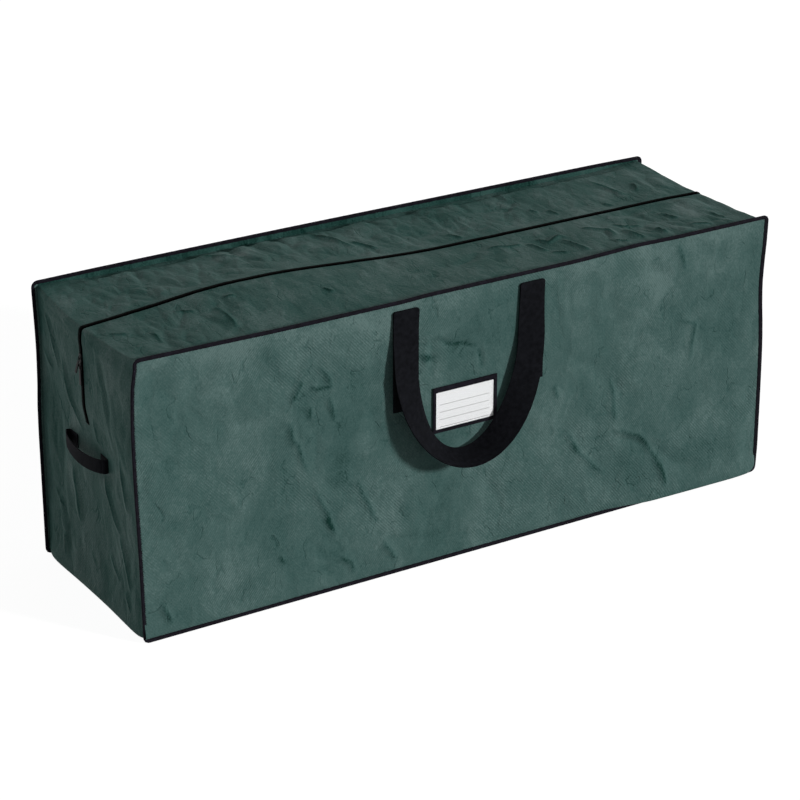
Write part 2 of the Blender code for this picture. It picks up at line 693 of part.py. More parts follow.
def make_label_pocket():
    """The pocket: a backing, a clear window, a bound frame open at the top, and a sliding card."""
    left, right = LABEL_SHIFT - LABEL_WIDTH / 2, LABEL_SHIFT + LABEL_WIDTH / 2
    bottom, top = LABEL_BOTTOM, LABEL_TOP
    inner_low = (left + LABEL_EDGE, bottom + LABEL_BOTTOM_EDGE)
    inner_high = (right - LABEL_EDGE, top - LABEL_TOP_EDGE)
    face = -PANEL_Y - PANEL_FACE - GAP
    card_front = face - LABEL_BACKING - GAP - LABEL_CARD
    window_front = card_front - GAP - LABEL_WINDOW
    frame_front = window_front - GAP - LABEL_FACE
    outer = rounded_outline(rectangle((left, bottom), (right, top)), LABEL_RADIUS)
    inner = rounded_outline(rectangle(inner_low, inner_high), LABEL_INNER_RADIUS)
    middle = (face + frame_front) / 2
    frame = slab("label_frame", [outer, inner], face - frame_front, upright(middle), TAPE_FINISH)
    slot = box("label_frame_slot",
               (inner_low[0], window_front - GAP, inner_high[1] - CUT_OVERRUN),
               (inner_high[0], face + CUT_OVERRUN, top + CUT_OVERRUN), TAPE_FINISH)
    combine(frame, slot, "DIFFERENCE")
    low_x, high_x = inner_low[0] + GAP, inner_high[0] - GAP
    low_z, high_z = inner_low[1] + GAP, top - LABEL_TUCK
    box("label_backing", (low_x, face - LABEL_BACKING, low_z), (high_x, face, high_z), TAPE_FINISH)
    box("label_window", (low_x, window_front, low_z),
        (high_x, window_front + LABEL_WINDOW, high_z), WINDOW_FINISH)
    card = box("label_card", (low_x, card_front, low_z),
               (high_x, card_front + LABEL_CARD, high_z), CARD_FINISH)
    hinge_empty("label_card_track", (LABEL_SHIFT, card_front + LABEL_CARD / 2, low_z), [card])


def build():
    """Make every piece of the bag."""
    clear_scene()
    for name, side in (("front", -1), ("back", 1)):
        make_panel(name + "_panel", side)
        make_edge_tape(name + "_edge_tape", side)
        flap = make_top_flap("top_" + name + "_flap", side)
        rows = make_top_zip("top_" + name, side)
        hinge_z = TOP_Z - FABRIC / 2
        hinge_empty(name + "_flap_axis", (0, side * HINGE_Y, hinge_z), [flap] + rows)
        make_carry_handle(name + "_handle", side)
    make_bottom()
    for name, end in (("left", -1), ("right", 1)):
        make_end_panel(name + "_end_panel", end)
        make_end_zip(name + "_front", end, -1)
        make_end_zip(name + "_back", end, 1)
        make_zip_stop(name + "_zip_stop", end)
        make_end_handle(name + "_end_handle", end)
    make_sliders()
    make_label_pocket()


build()
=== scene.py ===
# %% [markdown]
# # A storage bag for an artificial tree
#
# The real bag is sewn from a dark green laminated woven sheet. Two flat panels are joined by one long
# strip, called a gusset, that runs round the bag, and black tape binds both joined edges. A zip runs
# along the top and down the ends. The CAD model holds the plain solids of these pieces. This lesson
# dresses each one: sagging cloth, folded tape, webbing, a coil zip and a label pocket.
#
# Units are metres and +Z is up. +X runs along the bag and the front panel faces -Y.

import math

import bmesh
import bpy
import numpy as np
from mathutils import Matrix, Vector, noise


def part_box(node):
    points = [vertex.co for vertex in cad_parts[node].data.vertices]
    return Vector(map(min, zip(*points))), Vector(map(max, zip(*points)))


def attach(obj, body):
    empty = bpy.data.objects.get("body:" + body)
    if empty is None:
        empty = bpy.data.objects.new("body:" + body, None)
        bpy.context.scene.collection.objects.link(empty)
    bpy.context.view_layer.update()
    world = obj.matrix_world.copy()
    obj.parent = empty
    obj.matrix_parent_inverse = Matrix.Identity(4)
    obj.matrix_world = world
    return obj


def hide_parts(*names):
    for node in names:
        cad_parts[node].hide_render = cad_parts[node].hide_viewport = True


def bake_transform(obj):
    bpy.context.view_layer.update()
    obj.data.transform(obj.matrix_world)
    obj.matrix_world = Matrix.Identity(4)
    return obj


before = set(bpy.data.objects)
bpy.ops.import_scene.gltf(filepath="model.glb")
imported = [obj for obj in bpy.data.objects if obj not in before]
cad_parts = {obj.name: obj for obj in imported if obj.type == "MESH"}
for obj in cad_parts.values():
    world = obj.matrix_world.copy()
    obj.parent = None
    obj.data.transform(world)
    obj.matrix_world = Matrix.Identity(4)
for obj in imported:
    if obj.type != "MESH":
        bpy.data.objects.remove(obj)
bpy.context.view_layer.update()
scene = bpy.context.scene

# %% [markdown]
# The bag's own sizes come first. They are the sizes that the CAD solids were made from, so every
# dressed piece lands on the solid that it stands for.

# %% Sizes of the bag
LENGTH = 1.270
DEPTH = 0.384
HEIGHT = 0.508
FIN = 0.0095
FIN_RADIUS = 0.012
PANEL_Y = DEPTH / 2
END_X = LENGTH / 2 - FIN
TOP_Z = HEIGHT - FIN
BOTTOM_Z = FIN
SEAM_Y = 0.1911
CLOTH = 0.0007
WELD = 0.000002
# Each side of the bag and each end of it, with its sign in y and in x
SIDES = (("front", -1), ("back", 1))
HANDS = (("left", -1), ("right", 1))
print("panels at y = +-%.3f, ends at x = +-%.4f, top at z = %.4f" % (PANEL_Y, END_X, TOP_Z))

# %% [markdown]
# A few small helpers carry the whole script. `smooth` eases a value from 0 to 1. `curve_through`
# follows a few measured points with a soft curve. `lay` lays a bmesh grid over two lists of levels and
# moves each vertex to its place, and it keeps the flat levels as a UV map named "cut", in metres, so
# that a weave follows the cloth. It can also store a painted shading for each point: painted shade that
# darkens the cloth, and painted sheen that lightens it.

# %% Helpers for curves and sheets
def smooth(t):
    """Ease from 0 to 1."""
    t = np.clip(t, 0, 1)
    return t * t * (3 - 2 * t)


def curve_through(points):
    """Return a function that follows a smooth curve through points, flat wherever it turns."""
    xs = np.array([p[0] for p in points], float)
    hs = np.array([p[1] for p in points], float)
    slopes = np.diff(hs) / np.diff(xs)
    inner = [2 * a * b / (a + b) if a * b > 0 else 0 for a, b in zip(slopes, slopes[1:])]
    tangents = np.array([slopes[0], *inner, slopes[-1]])

    def follow(t):
        t = np.clip(t, xs[0], xs[-1])
        i = np.clip(np.searchsorted(xs, t) - 1, 0, len(xs) - 2)
        span = xs[i + 1] - xs[i]
        s = (t - xs[i]) / span
        start = (1 + 2 * s) * (1 - s) ** 2 * hs[i] + s * (1 - s) ** 2 * span * tangents[i]
        end = s * s * (3 - 2 * s) * hs[i + 1] + s * s * (s - 1) * span * tangents[i + 1]
        return start + end

    return follow


def evenly(low, high, step):
    """Return even levels from low to high, about a step apart."""
    return np.linspace(low, high, max(2, int(round(abs(high - low) / step)) + 1))


def stacked(*columns):
    """Return points from their coordinates, any of which may be one number."""
    return np.stack(np.broadcast_arrays(*[np.asarray(c, float) for c in columns]), axis=-1)


def lay(us, vs, place, keep=None, shading=None):
    """Return a bmesh grid over the levels us and vs, with each vertex at place(u, v)."""
    us = np.asarray(us, float)
    vs = np.asarray(vs, float)
    columns, rows = len(us) - 1, len(vs) - 1
    bm = bmesh.new()
    bmesh.ops.create_grid(bm, x_segments=columns, y_segments=rows, size=0.5)
    cut = bm.loops.layers.uv.new("cut")
    for vert in bm.verts:
        i = round((vert.co.x + 0.5) * columns)
        j = round((vert.co.y + 0.5) * rows)
        vert.co = (us[i], vs[j], 0)
    for face in bm.faces:
        for loop in face.loops:
            loop[cut].uv = loop.vert.co.xy
    if keep:
        dropped = [f for f in bm.faces if not keep(*f.calc_center_median().xy)]
        bmesh.ops.delete(bm, geom=dropped, context="FACES")
    flat = np.array([vert.co[:2] for vert in bm.verts])
    for vert, spot in zip(bm.verts, place(flat[:, 0], flat[:, 1])):
        vert.co = spot
    # Painted shade and sheen for the colour: above zero it darkens the cloth, below zero it lightens it
    if shading:
        painted_shading = bm.verts.layers.float.new("painted_shading")
        for vert, value in zip(bm.verts, shading(flat[:, 0], flat[:, 1])):
            vert[painted_shading] = float(value)
    return bm


print("levels 10 mm apart over 30 mm:", evenly(0, 0.030, 0.010))

# %% [markdown]
# A finished bmesh becomes an object, and its modifiers are applied at once. Most pieces then ride on one
# body, have one material slot, and stand for CAD nodes that are hidden in the render.

# %% Helpers for pieces
BEVEL_FROM = math.radians(50)


def make_piece(name, bm, finishes, thickness=0.0, corner=0.0, sharp=math.radians(45)):
    """Turn a bmesh into an object; thickness and rounded corners are applied to its mesh."""
    mesh = bpy.data.meshes.new(name)
    bm.to_mesh(mesh)
    bm.free()
    for finish in finishes:
        mesh.materials.append(finish)
    item = bpy.data.objects.new(name, mesh)
    scene.collection.objects.link(item)
    if thickness:
        solid = item.modifiers.new("thickness", "SOLIDIFY")
        solid.thickness = thickness
        solid.offset = 0
    if corner:
        rounded = item.modifiers.new("rounded", "BEVEL")
        rounded.width = corner
        rounded.segments = 2
        rounded.limit_method = "ANGLE"
        rounded.angle_limit = BEVEL_FROM
    if item.modifiers:
        bpy.context.view_layer.update()
        evaluated = item.evaluated_get(bpy.context.evaluated_depsgraph_get())
        final = bpy.data.meshes.new_from_object(evaluated)
        item.modifiers.clear()
        item.data = final
        bpy.data.meshes.remove(mesh)
        final.name = name
    mesh = item.data
    mesh.polygons.foreach_set("use_smooth", [True] * len(mesh.polygons))
    mesh.set_sharp_from_angle(angle=sharp)
    triangles = sum(len(p.vertices) - 2 for p in mesh.polygons)
    print("%-28s %6d triangles" % (name, triangles))
    return item


def set_on(item, body, slot, *nodes):
    """Let a piece ride on a body and stand for the CAD's nodes; slot is not used."""
    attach(item, body)
    if nodes:
        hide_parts(*nodes)


# %% [markdown]
# The camera stands where the photograph was taken from. It was worked out from the corners of the
# bag: a long lens, about 4.8 m away, looking down by 24 degrees at the front and the left end.

# %% Camera
camera_data = bpy.data.cameras.new("camera")
camera_data.lens = 120.496
camera_data.sensor_width = 36
camera = bpy.data.objects.new("camera", camera_data)
camera.location = (-2.30859, -3.71458, 2.14095)
camera.rotation_euler = [math.radians(a) for a in (66.29108, 0.05657, -31.61099)]
scene.collection.objects.link(camera)
scene.camera = camera
scene.view_settings.view_transform = "Standard"
print("camera %.2f m from the bag" % (camera.location - Vector((0, 0, HEIGHT / 2))).length)

# %% [markdown]
# The light is a plain soft studio: a large lamp from the front right, a weaker one from behind, and
# pale surroundings. A sun's strength over pi is the share of a colour that it shows on a surface
# facing it, so all the light together renders a colour on the front about as it is written.
#
# The floor and the surroundings look white to the camera, in gloss and through clear film, and stay
# plain pale ones for the light that falls on the bag. The floor keeps the bag's shadow.

# %% Helpers for nodes and lamps
def linear(code):
    """Turn an sRGB hex colour into the linear values that Blender's sockets take."""
    shares = [int(code[i:i + 2], 16) / 255 for i in (1, 3, 5)]
    return [s / 12.92 if s <= 0.04045 else ((s + 0.055) / 1.055) ** 2.4 for s in shares] + [1.0]


def add(tree, kind, inputs=None, stops=(), **settings):
    """Add a node with its settings; an input is a value or an output, a stop a place and a colour."""
    item = tree.nodes.new(kind)
    for setting, value in settings.items():
        setattr(item, setting, value)
    for number, (place, code) in enumerate(stops):
        elements = item.color_ramp.elements
        element = elements[number] if number < 2 else elements.new(place)
        element.position = place
        element.color = linear(code)
    for socket, value in (inputs or {}).items():
        if isinstance(value, bpy.types.NodeSocket):
            tree.links.new(value, item.inputs[socket])
        else:
            item.inputs[socket].default_value = value
    return item


def add_sun(name, towards_lamp, share, softness):
    """Add a soft distant lamp that shows a colour at that share on a surface facing it."""
    data = bpy.data.lights.new(name, "SUN")
    data.energy = share * math.pi
    data.angle = math.radians(softness)
    lamp = bpy.data.objects.new(name, data)
    lamp.rotation_euler = Vector(towards_lamp).to_track_quat("Z", "Y").to_euler()
    scene.collection.objects.link(lamp)


def seen_directly(tree):
    """Return a value that is 1 for the camera, in gloss and through clear film, and 0 for light."""
    path = add(tree, "ShaderNodeLightPath")
    seen = path.outputs["Is Camera Ray"]
    for ray in ("Is Glossy Ray", "Is Transmission Ray"):
        seen = add(tree, "ShaderNodeMath", {0: seen, 1: path.outputs[ray]},
                   operation="MAXIMUM").outputs[0]
    return seen


print("middle grey is %.3f in linear light" % linear("#808080")[0])

# %% Lamps and surroundings
SURROUNDINGS_SHARE = 0.16
add_sun("key_lamp", (0.55, -0.79, 0.29), share=0.93, softness=8)
add_sun("back_lamp", (-0.28, 0.90, 0.34), share=0.28, softness=25)

world = bpy.data.worlds.new("pale_studio")
world.use_nodes = True
scene.world = world
tree = world.node_tree
tree.nodes.clear()
light = add(tree, "ShaderNodeBackground", {"Color": (1, 1, 1, 1), "Strength": SURROUNDINGS_SHARE})
white = add(tree, "ShaderNodeBackground", {"Color": (1, 1, 1, 1), "Strength": 1.0})
mixed = add(tree, "ShaderNodeMixShader",
            {0: seen_directly(tree), 1: light.outputs[0], 2: white.outputs[0]})
add(tree, "ShaderNodeOutputWorld", {"Surface": mixed.outputs[0]})

# %% Floor
FLOOR_COLOUR = "#E6E6E6"
FLOOR_GLOW_SHARE = 0.92
FLOOR_SHADOW_COLOUR = "#8A8A8A"
FLOOR_HALF = 12.0
FLOOR_DROP = 0.0004

floor_finish = bpy.data.materials.new("white_paper_floor")
floor_finish.use_nodes = True
tree = floor_finish.node_tree
tree.nodes.clear()
pale = add(tree, "ShaderNodeBsdfDiffuse", {"Color": linear(FLOOR_COLOUR)})
glow = add(tree, "ShaderNodeEmission", {"Color": (1, 1, 1, 1), "Strength": FLOOR_GLOW_SHARE})
shaded = add(tree, "ShaderNodeBsdfDiffuse", {"Color": linear(FLOOR_SHADOW_COLOUR)})
shown = add(tree, "ShaderNodeAddShader", {0: glow.outputs[0], 1: shaded.outputs[0]})
mixed = add(tree, "ShaderNodeMixShader",
            {0: seen_directly(tree), 1: pale.outputs[0], 2: shown.outputs[0]})
add(tree, "ShaderNodeOutputMaterial", {"Surface": mixed.outputs[0]})

bm = bmesh.new()
bmesh.ops.create_grid(bm, x_segments=2, y_segments=2, size=FLOOR_HALF)
bm.transform(Matrix.Translation((0, 0, -FLOOR_DROP)))
floor = make_piece("floor", bm, [floor_finish])

# %% [markdown]
# ## The finishes
#
# The cloth is a polypropylene tape weave with a laminated film: flat tapes about 2.5 mm wide cross
# each other, the film gives a soft sheen, and handling leaves sharp creases. The weave and the creases
# go into the bump in real millimetres. The colour holds cloudy patches, partly the film's own mottle and
# partly painted shade and sheen of its facets, painted highlights on the rib tops, and painted shade in
# the wrinkles.

# %% Helpers for finishes
# One period of a Wave texture's bands is this long at scale 1
WAVE_PERIOD = math.pi / 10


def new_finish(name, roughness, specular):
    """Return a material and its tree, with the values that are even over the surface."""
    material = bpy.data.materials.new(name)
    material.use_nodes = True
    shader = material.node_tree.nodes["Principled BSDF"]
    shader.inputs["Roughness"].default_value = roughness
    shader.inputs["Specular IOR Level"].default_value = specular
    return material, material.node_tree


def finished(material, shade, stops, height):
    """Colour a material by a shade from 0 to 1, and give its surface a height in metres."""
    tree = material.node_tree
    shader = tree.nodes["Principled BSDF"]
    colour = add(tree, "ShaderNodeValToRGB", {"Fac": shade}, stops=stops).outputs["Color"]
    bump = add(tree, "ShaderNodeBump", {"Height": height, "Strength": 1.0, "Distance": 1.0})
    tree.links.new(colour, shader.inputs["Base Color"])
    tree.links.new(bump.outputs[0], shader.inputs["Normal"])
    return material


def layered(tree, value, layers):
    """Return a value with patterns laid over it, each with the share that it adds or takes away."""
    for pattern, share in layers:
        value = add(tree, "ShaderNodeMath", {0: pattern, 1: share, 2: value},
                    operation="MULTIPLY_ADD").outputs[0]
    return value


def bands(tree, along, pitch, turn=0.0, wobble=0.0):
    """Return ridges across the cloth's own coordinates, a pitch apart, in metres."""
    turned = add(tree, "ShaderNodeMapping", {"Vector": along, "Rotation": (0, 0, turn)})
    wave = add(tree, "ShaderNodeTexWave",
               {"Vector": turned.outputs[0], "Scale": WAVE_PERIOD / pitch, "Distortion": wobble,
                "Detail": 1.0, "Detail Scale": 0.4}, bands_direction="X")
    return wave.outputs["Fac"]


def cloudy(tree, place, size, low, high, detail=1.0):
    """Return soft patches of a size, 0 where the noise is under low and 1 where it is over high."""
    clouds = add(tree, "ShaderNodeTexNoise", {"Vector": place, "Scale": 1 / size, "Detail": detail})
    return add(tree, "ShaderNodeMapRange", {"Value": clouds.outputs["Fac"], "From Min": low,
                                            "From Max": high}).outputs[0]


def wrinkle_lines(tree, place, size, half):
    """Return thin broken lines: 1 where a noise passes its middle, and 0 a half width away."""
    clouds = add(tree, "ShaderNodeTexNoise", {"Vector": place, "Scale": 1 / size, "Detail": 2.0})
    off = add(tree, "ShaderNodeMath", {0: clouds.outputs["Fac"], 1: 0.5}, operation="SUBTRACT")
    off = add(tree, "ShaderNodeMath", {0: off.outputs[0]}, operation="ABSOLUTE")
    line = add(tree, "ShaderNodeMapRange", {"Value": off.outputs[0], "From Max": half, "To Min": 1.0,
                                            "To Max": 0.0})
    gaps = cloudy(tree, place, size / 1.35, 0.54, 0.62)
    return add(tree, "ShaderNodeMath", {0: line.outputs[0], 1: gaps}, operation="MULTIPLY").outputs[0]


print("bands 2.5 mm apart need a scale of %.0f" % (WAVE_PERIOD / 0.0025))

# %% Woven sheet
# Sizes of the clouds in the film, its steep-edged patches and flakes, and its short wrinkles
CLOUD = 0.111
PATCH = 0.077
FLAKE = 0.0294
WRINKLE = 0.0588
# The film's grain is finer than 1 mm; it is drawn at 3 mm, the finest that the render shows
GRAIN = 0.00303
# The tapes are 2.5 mm wide, and the film's slanting ribs are drawn 4 mm apart, so that they show
TAPE_PITCH = 0.0025
RIB_FALLING = 0.0042
RIB_RISING = 0.0038


def woven_sheet(name, stretch, shades, patch_share, rib_share, rib_height, light_band):
    """Make the laminated tape weave: shades run from dark to light, and stretch draws its folds out."""
    material, tree = new_finish(name, 0.5, 0.02)
    cut = add(tree, "ShaderNodeUVMap", uv_map="cut").outputs["UV"]
    place = add(tree, "ShaderNodeTexCoord").outputs["Object"]
    drawn = add(tree, "ShaderNodeMapping", {"Vector": place, "Scale": stretch}).outputs[0]
    cloud = add(tree, "ShaderNodeTexNoise",
                {"Vector": drawn, "Scale": 1 / CLOUD, "Detail": 6.0, "Roughness": 0.6,
                 "Distortion": 0.8}).outputs["Fac"]
    # Borders waver by up to 50 mm, so that patches and flakes look torn
    warped = add(tree, "ShaderNodeTexNoise", {"Vector": drawn, "Scale": 1 / 0.050, "Detail": 3.0})
    bent = add(tree, "ShaderNodeVectorMath",
               {0: warped.outputs["Color"], 1: (0.05, 0.05, 0.05), 2: drawn},
               operation="MULTIPLY_ADD").outputs[0]
    # Patches and flakes: partly the film's own mottle, partly painted shade and sheen of the crumpled
    # facets
    patches = cloudy(tree, bent, PATCH, 0.46, 0.55, 3.0)
    flakes = cloudy(tree, bent, FLAKE, 0.47, 0.55, 3.0)
    short = wrinkle_lines(tree, bent, WRINKLE, 0.018)
    grain = add(tree, "ShaderNodeTexNoise",
                {"Vector": place, "Scale": 1 / GRAIN, "Detail": 2.0}).outputs["Fac"]
    tapes = add(tree, "ShaderNodeMath", {0: bands(tree, cut, TAPE_PITCH),
                                         1: bands(tree, cut, TAPE_PITCH, math.pi / 2)},
                operation="MULTIPLY").outputs[0]
    falling = bands(tree, cut, RIB_FALLING, math.radians(-41), 0.6)
    rising = bands(tree, cut, RIB_RISING, math.radians(38), 0.6)
    ribs = add(tree, "ShaderNodeMix", {0: cloudy(tree, place, 0.167, 0.42, 0.56, 3.0), 2: rising,
                                       3: falling}).outputs[0]
    # The ribs are broken into short lengths and show in some areas alone
    for size, low, high in ((0.00667, 0.25, 0.60), (0.222, 0.30, 0.58)):
        ribs = add(tree, "ShaderNodeMath", {0: ribs, 1: cloudy(tree, place, size, low, high)},
                   operation="MULTIPLY").outputs[0]
    # The painted shading stored on the mesh: painted shade along creases and in the tape's shadow, and
    # painted sheen
    painted_shading = add(tree, "ShaderNodeAttribute", attribute_name="painted_shading").outputs["Fac"]
    # Each pattern varies round its own middle, so the middles are taken away from the plain shade
    plain_shade = 0.02 - 0.75 * patch_share - 0.25 * rib_share
    # In the colour the ribs are painted highlights on their tops, and the short wrinkles are painted
    # shade
    shade = layered(tree, plain_shade, (
        (cloud, 0.55), (patches, patch_share), (flakes, patch_share / 2), (grain, 0.36),
        (ribs, rib_share), (short, -0.12), (painted_shading, -1.0)))
    if light_band:
        high = add(tree, "ShaderNodeSeparateXYZ", {"Vector": cut}).outputs["Y"]
        band = add(tree, "ShaderNodeMapRange", {"Value": high, "From Min": 0.462, "From Max": 0.488})
        shade = layered(tree, shade, [(band.outputs[0], light_band)])
    # Heights in metres: the film smooths the tapes, and a wrinkle is a dent
    height = layered(tree, 0.0, (
        (tapes, 0.0001), (ribs, rib_height), (patches, 0.0006), (flakes, 0.0004),
        (short, -0.0007), (grain, 0.00022)))
    return finished(material, shade, shades, height)


# Each ramp's pale, greyer top stop is the film's sheen, painted into the colour
PANEL_SHADES = [(0.10, "#16332E"), (0.34, "#3A5451"), (0.50, "#465E5B"), (0.68, "#5A706D")]
# The gusset is the same cloth as the panels, painted darker as the shade on the top and the ends
GUSSET_SHADES = [(0.10, "#0D2B26"), (0.34, "#2D4C47"), (0.52, "#415A56"), (0.72, "#5E726F")]
panel_sheet = woven_sheet("laminated_tape_weave_panel", (1.1, 1.0, 0.85), PANEL_SHADES,
                          0.06, 0.15, 0.00050, 0.10)
gusset_sheet = woven_sheet("laminated_tape_weave_gusset", (1.4, 0.75, 0.45), GUSSET_SHADES,
                           0.09, 0.03, 0.00010, 0)
print("sheets made:", panel_sheet.name, gusset_sheet.name)

# %% [markdown]
# The edge tape and the zip's tape are a thin polyester rib, the carry straps a thick polypropylene
# webbing. Both are dull, near black, and ribbed across. The zip's coil is black nylon, a smooth
# plastic with a soft shine. The sliders are zinc with black paint. The pocket has a clear vinyl film
# over a plain white card.

# %% Tape, webbing, zip and label finishes
FUZZ = 0.0077


def ribbed(name, dark, light, pitch, rib_height, roughness, specular):
    """Make a ribbed textile: ribs across the strip, a pitch apart, with a mottled colour."""
    material, tree = new_finish(name, roughness, specular)
    cut = add(tree, "ShaderNodeUVMap", uv_map="cut").outputs["UV"]
    place = add(tree, "ShaderNodeTexCoord").outputs["Object"]
    fuzz = add(tree, "ShaderNodeTexNoise",
               {"Vector": place, "Scale": 1 / FUZZ, "Detail": 4.0}).outputs["Fac"]
    rib = bands(tree, cut, pitch)
    yarn = bands(tree, cut, pitch * 0.9, math.pi / 2)
    height = layered(tree, 0.0, ((rib, rib_height), (yarn, rib_height * 0.6),
                                 (fuzz, rib_height * 0.5)))
    return finished(material, fuzz, [(0.3, dark), (0.7, light)], height)


def plain(name, dark, light, roughness, specular, grain=0.00333, depth=0.00003):
    """Make a smooth finish with a faint grain of that size in its colour and its surface."""
    material, tree = new_finish(name, roughness, specular)
    place = add(tree, "ShaderNodeTexCoord").outputs["Object"]
    specks = add(tree, "ShaderNodeTexNoise",
                 {"Vector": place, "Scale": 1 / grain, "Detail": 3.0}).outputs["Fac"]
    return finished(material, specks, [(0.3, dark), (0.7, light)],
                    layered(tree, 0.0, [(specks, depth)]))


# Woven polyester: a dull near-black strip with a fine rib, a little violet in the light
edge_tape_finish = ribbed("polyester_edge_tape", "#0C0B10", "#19171F", 0.0012, 0.00006, 0.75, 0.05)
# Thick woven polypropylene: deep black, with coarse ribs that break up its edge
webbing_finish = ribbed("polypropylene_webbing", "#0A0B0E", "#15161A", 0.0022, 0.00016, 0.8, 0.03)
# Thin knitted polyester: the darkest line on the bag, without shine
zip_tape_finish = ribbed("polyester_zip_tape", "#020202", "#060606", 0.0008, 0.00004, 0.85, 0.0)
# Drawn nylon: black turns whose tops catch a little light
coil_finish = plain("nylon_zip_coil", "#010101", "#050505", 0.5, 0.01)
# Twisted polyester: dull black stitches on the tape
thread_finish = plain("polyester_thread", "#060608", "#111114", 0.75, 0.05)
# Die-cast zinc under black paint: smooth, with a soft shine on its edges
slider_finish = plain("black_painted_zinc", "#050506", "#0D0D0F", 0.45, 0.08, 0.00111)
# Coated card and its printed ink: an even white with flat grey lines
card_finish = plain("white_card", "#E6E7E8", "#F0F1F2", 0.65, 0.2, 0.002, 0.00001)
ink_finish = plain("grey_rule_ink", "#6C6C70", "#7A7A7E", 0.7, 0.2)
# Black sheet behind the card
backing_finish = plain("black_pocket_backing", "#0B0B0D", "#141417", 0.7, 0.15)
# Clear vinyl: it only shows by its shine
film_finish = plain("clear_vinyl_film", "#FFFFFF", "#FAFCFC", 0.12, 0.5)
film_finish.node_tree.nodes["Principled BSDF"].inputs["Alpha"].default_value = 0.10
print("finishes made:", len(bpy.data.materials))

# %% [markdown]
# ## The shape of the filled bag
#
# A real bag isn't a box. Its taped edges waver, its top rises and sinks along the zip, its ends swell,
# and its bottom settles on the ground. These moves were measured on the photograph. They are written
# here once, as functions of a point on the straight box, so every piece that lies on the cloth settles
# with it: sheet, tape, zip and stitches. A table of shares says how much of a move each place has.

# %% Measured waves of the filled bag
CROWN = 0.018
CROWN_POWER = 1.5
HINGE_Y = 0.1896
ZIP_DOWN = 0.186
ZIP_BOTTOM = HEIGHT - ZIP_DOWN
END_SWELL = 0.011
FOOT_SWELL = 0.0078
HEAD_SWELL = 0.0090
HEAD_LOW = 0.463
crown_share = curve_through([
    (0.0, -0.18), (0.04, 0.10), (0.08, 0.34), (0.12, 0.61), (0.16, 0.89), (0.185, 1.01),
    (0.225, 1.09), (0.29, 1.03), (0.335, 0.85), (0.40, 0.53), (0.47, 0.19), (0.515, 0.04),
    (0.54, 0.0), (0.70, -0.03), (0.90, -0.02), (1.0, -0.14)])
swell_share = curve_through([
    (BOTTOM_Z, 0), (0.156, 0.03), (0.253, 0.10), (0.289, 0.13), (ZIP_BOTTOM, 0.45),
    (0.365, 1), (0.467, 1), (TOP_Z, 0)])

# How far each taped edge lies outside its straight line, in metres, by the place along it
front_top_wave = curve_through([
    (-0.62, 0.0), (-0.48, -0.0015), (-0.36, -0.003), (-0.15, -0.003), (-0.08, -0.001),
    (0.20, -0.0008), (0.28, 0.001), (0.35, 0.003), (0.44, 0.0015), (0.62, 0.0016)])
back_top_wave = curve_through([
    (-0.62, 0.0048), (-0.5, 0.006), (-0.16, 0.0068), (0.2, 0.006), (0.5, 0.0055), (0.62, 0.0042)])
front_left_wave = curve_through([
    (0.03, -0.0038), (0.18, -0.0060), (0.28, -0.0085), (0.37, -0.0095), (0.45, -0.0070),
    (0.49, -0.001)])
front_right_wave = curve_through([
    (0.01, 0.0034), (0.06, 0.0052), (0.14, 0.005), (0.22, 0.0042), (0.26, 0.0032), (0.30, 0.001),
    (0.34, -0.0022), (0.38, -0.0039), (0.42, -0.0024), (0.456, 0.0), (0.50, 0.0015)])
back_left_wave = curve_through([
    (0.04, -0.0027), (0.22, -0.0026), (0.28, -0.0018), (0.33, 0.0006), (0.39, 0.0018),
    (0.49, -0.0004)])
back_right_wave = curve_through([
    (0.03, 0.003), (0.15, 0.001), (0.27, -0.002), (0.36, 0.0015), (0.49, 0.001)])
print("along the zip the top rises %.1f mm at most"
      % (1000 * CROWN * crown_share(np.linspace(0, 1, 200)).max()))

# %% [markdown]
# Each wave belongs to one taped edge and fades towards the middle of the bag. The top's crown and the
# ends' swell come on top of it, and the bottom sinks until the cloth lies on the ground.

# %% Where the straight box settles
SIDE_FADE = (0.02, 0.165)
END_FADE = (0.33, 0.29)
TOP_FADE = (0.30, 0.20)
CROWN_FADE = (0.40, TOP_Z - 0.40)
# Ease lengths beside the seams and over the ground
SEAM_EASE = 0.012
FOOT_EASE = 0.06
SINK_EASE = 0.02
SINK = BOTTOM_Z - 0.0008
# Beside its long seams the top stays low this far, then climbs to the cloth's own height
SEAM_LOW = 0.014
SEAM_CLIMB = 0.016


def fade(value, start_and_length):
    """Ease from 0 at a start to 1 a length further on."""
    start, length = start_and_length
    return smooth((value - start) / length)


def edge_waves(x, y, z):
    """Return how the wavering taped edges pull a point along x and along z."""
    x, y, z = np.broadcast_arrays(*[np.asarray(c, float) for c in (x, y, z)])
    front, back = fade(-y, SIDE_FADE), fade(y, SIDE_FADE)
    right, left = fade(x, END_FADE), fade(-x, END_FADE)
    high = fade(z, TOP_FADE)
    dx = front * (front_right_wave(z) * right + front_left_wave(z) * left)
    dx = dx + back * (back_right_wave(z) * right + back_left_wave(z) * left)
    dz = high * (front * front_top_wave(x) + back * back_top_wave(x))
    return dx, dz


def crown(x, y):
    """Return how far the top stands over its seams."""
    inwards = np.clip((HINGE_Y - np.abs(y)) / HINGE_Y, 0, 1)
    share = crown_share((np.clip(x, -END_X, END_X) + END_X) / (2 * END_X))
    return CROWN * share * np.sin(math.pi / 2 * inwards) ** CROWN_POWER


def end_swell(y, z):
    """Return how far an end stands outside its folds."""
    across = np.clip(y, -PANEL_Y, PANEL_Y) / (2 * PANEL_Y)
    return END_SWELL * swell_share(z) * np.cos(math.pi * across)


def low_seam(x, y):
    """Return 1 beside the top's long seams, where it has to fold back inside the edge tape."""
    beside = 1 - smooth((SEAM_Y - np.abs(y) - SEAM_LOW) / SEAM_CLIMB)
    return beside * smooth((END_X - SEAM_LOW - np.abs(x)) / 0.10)


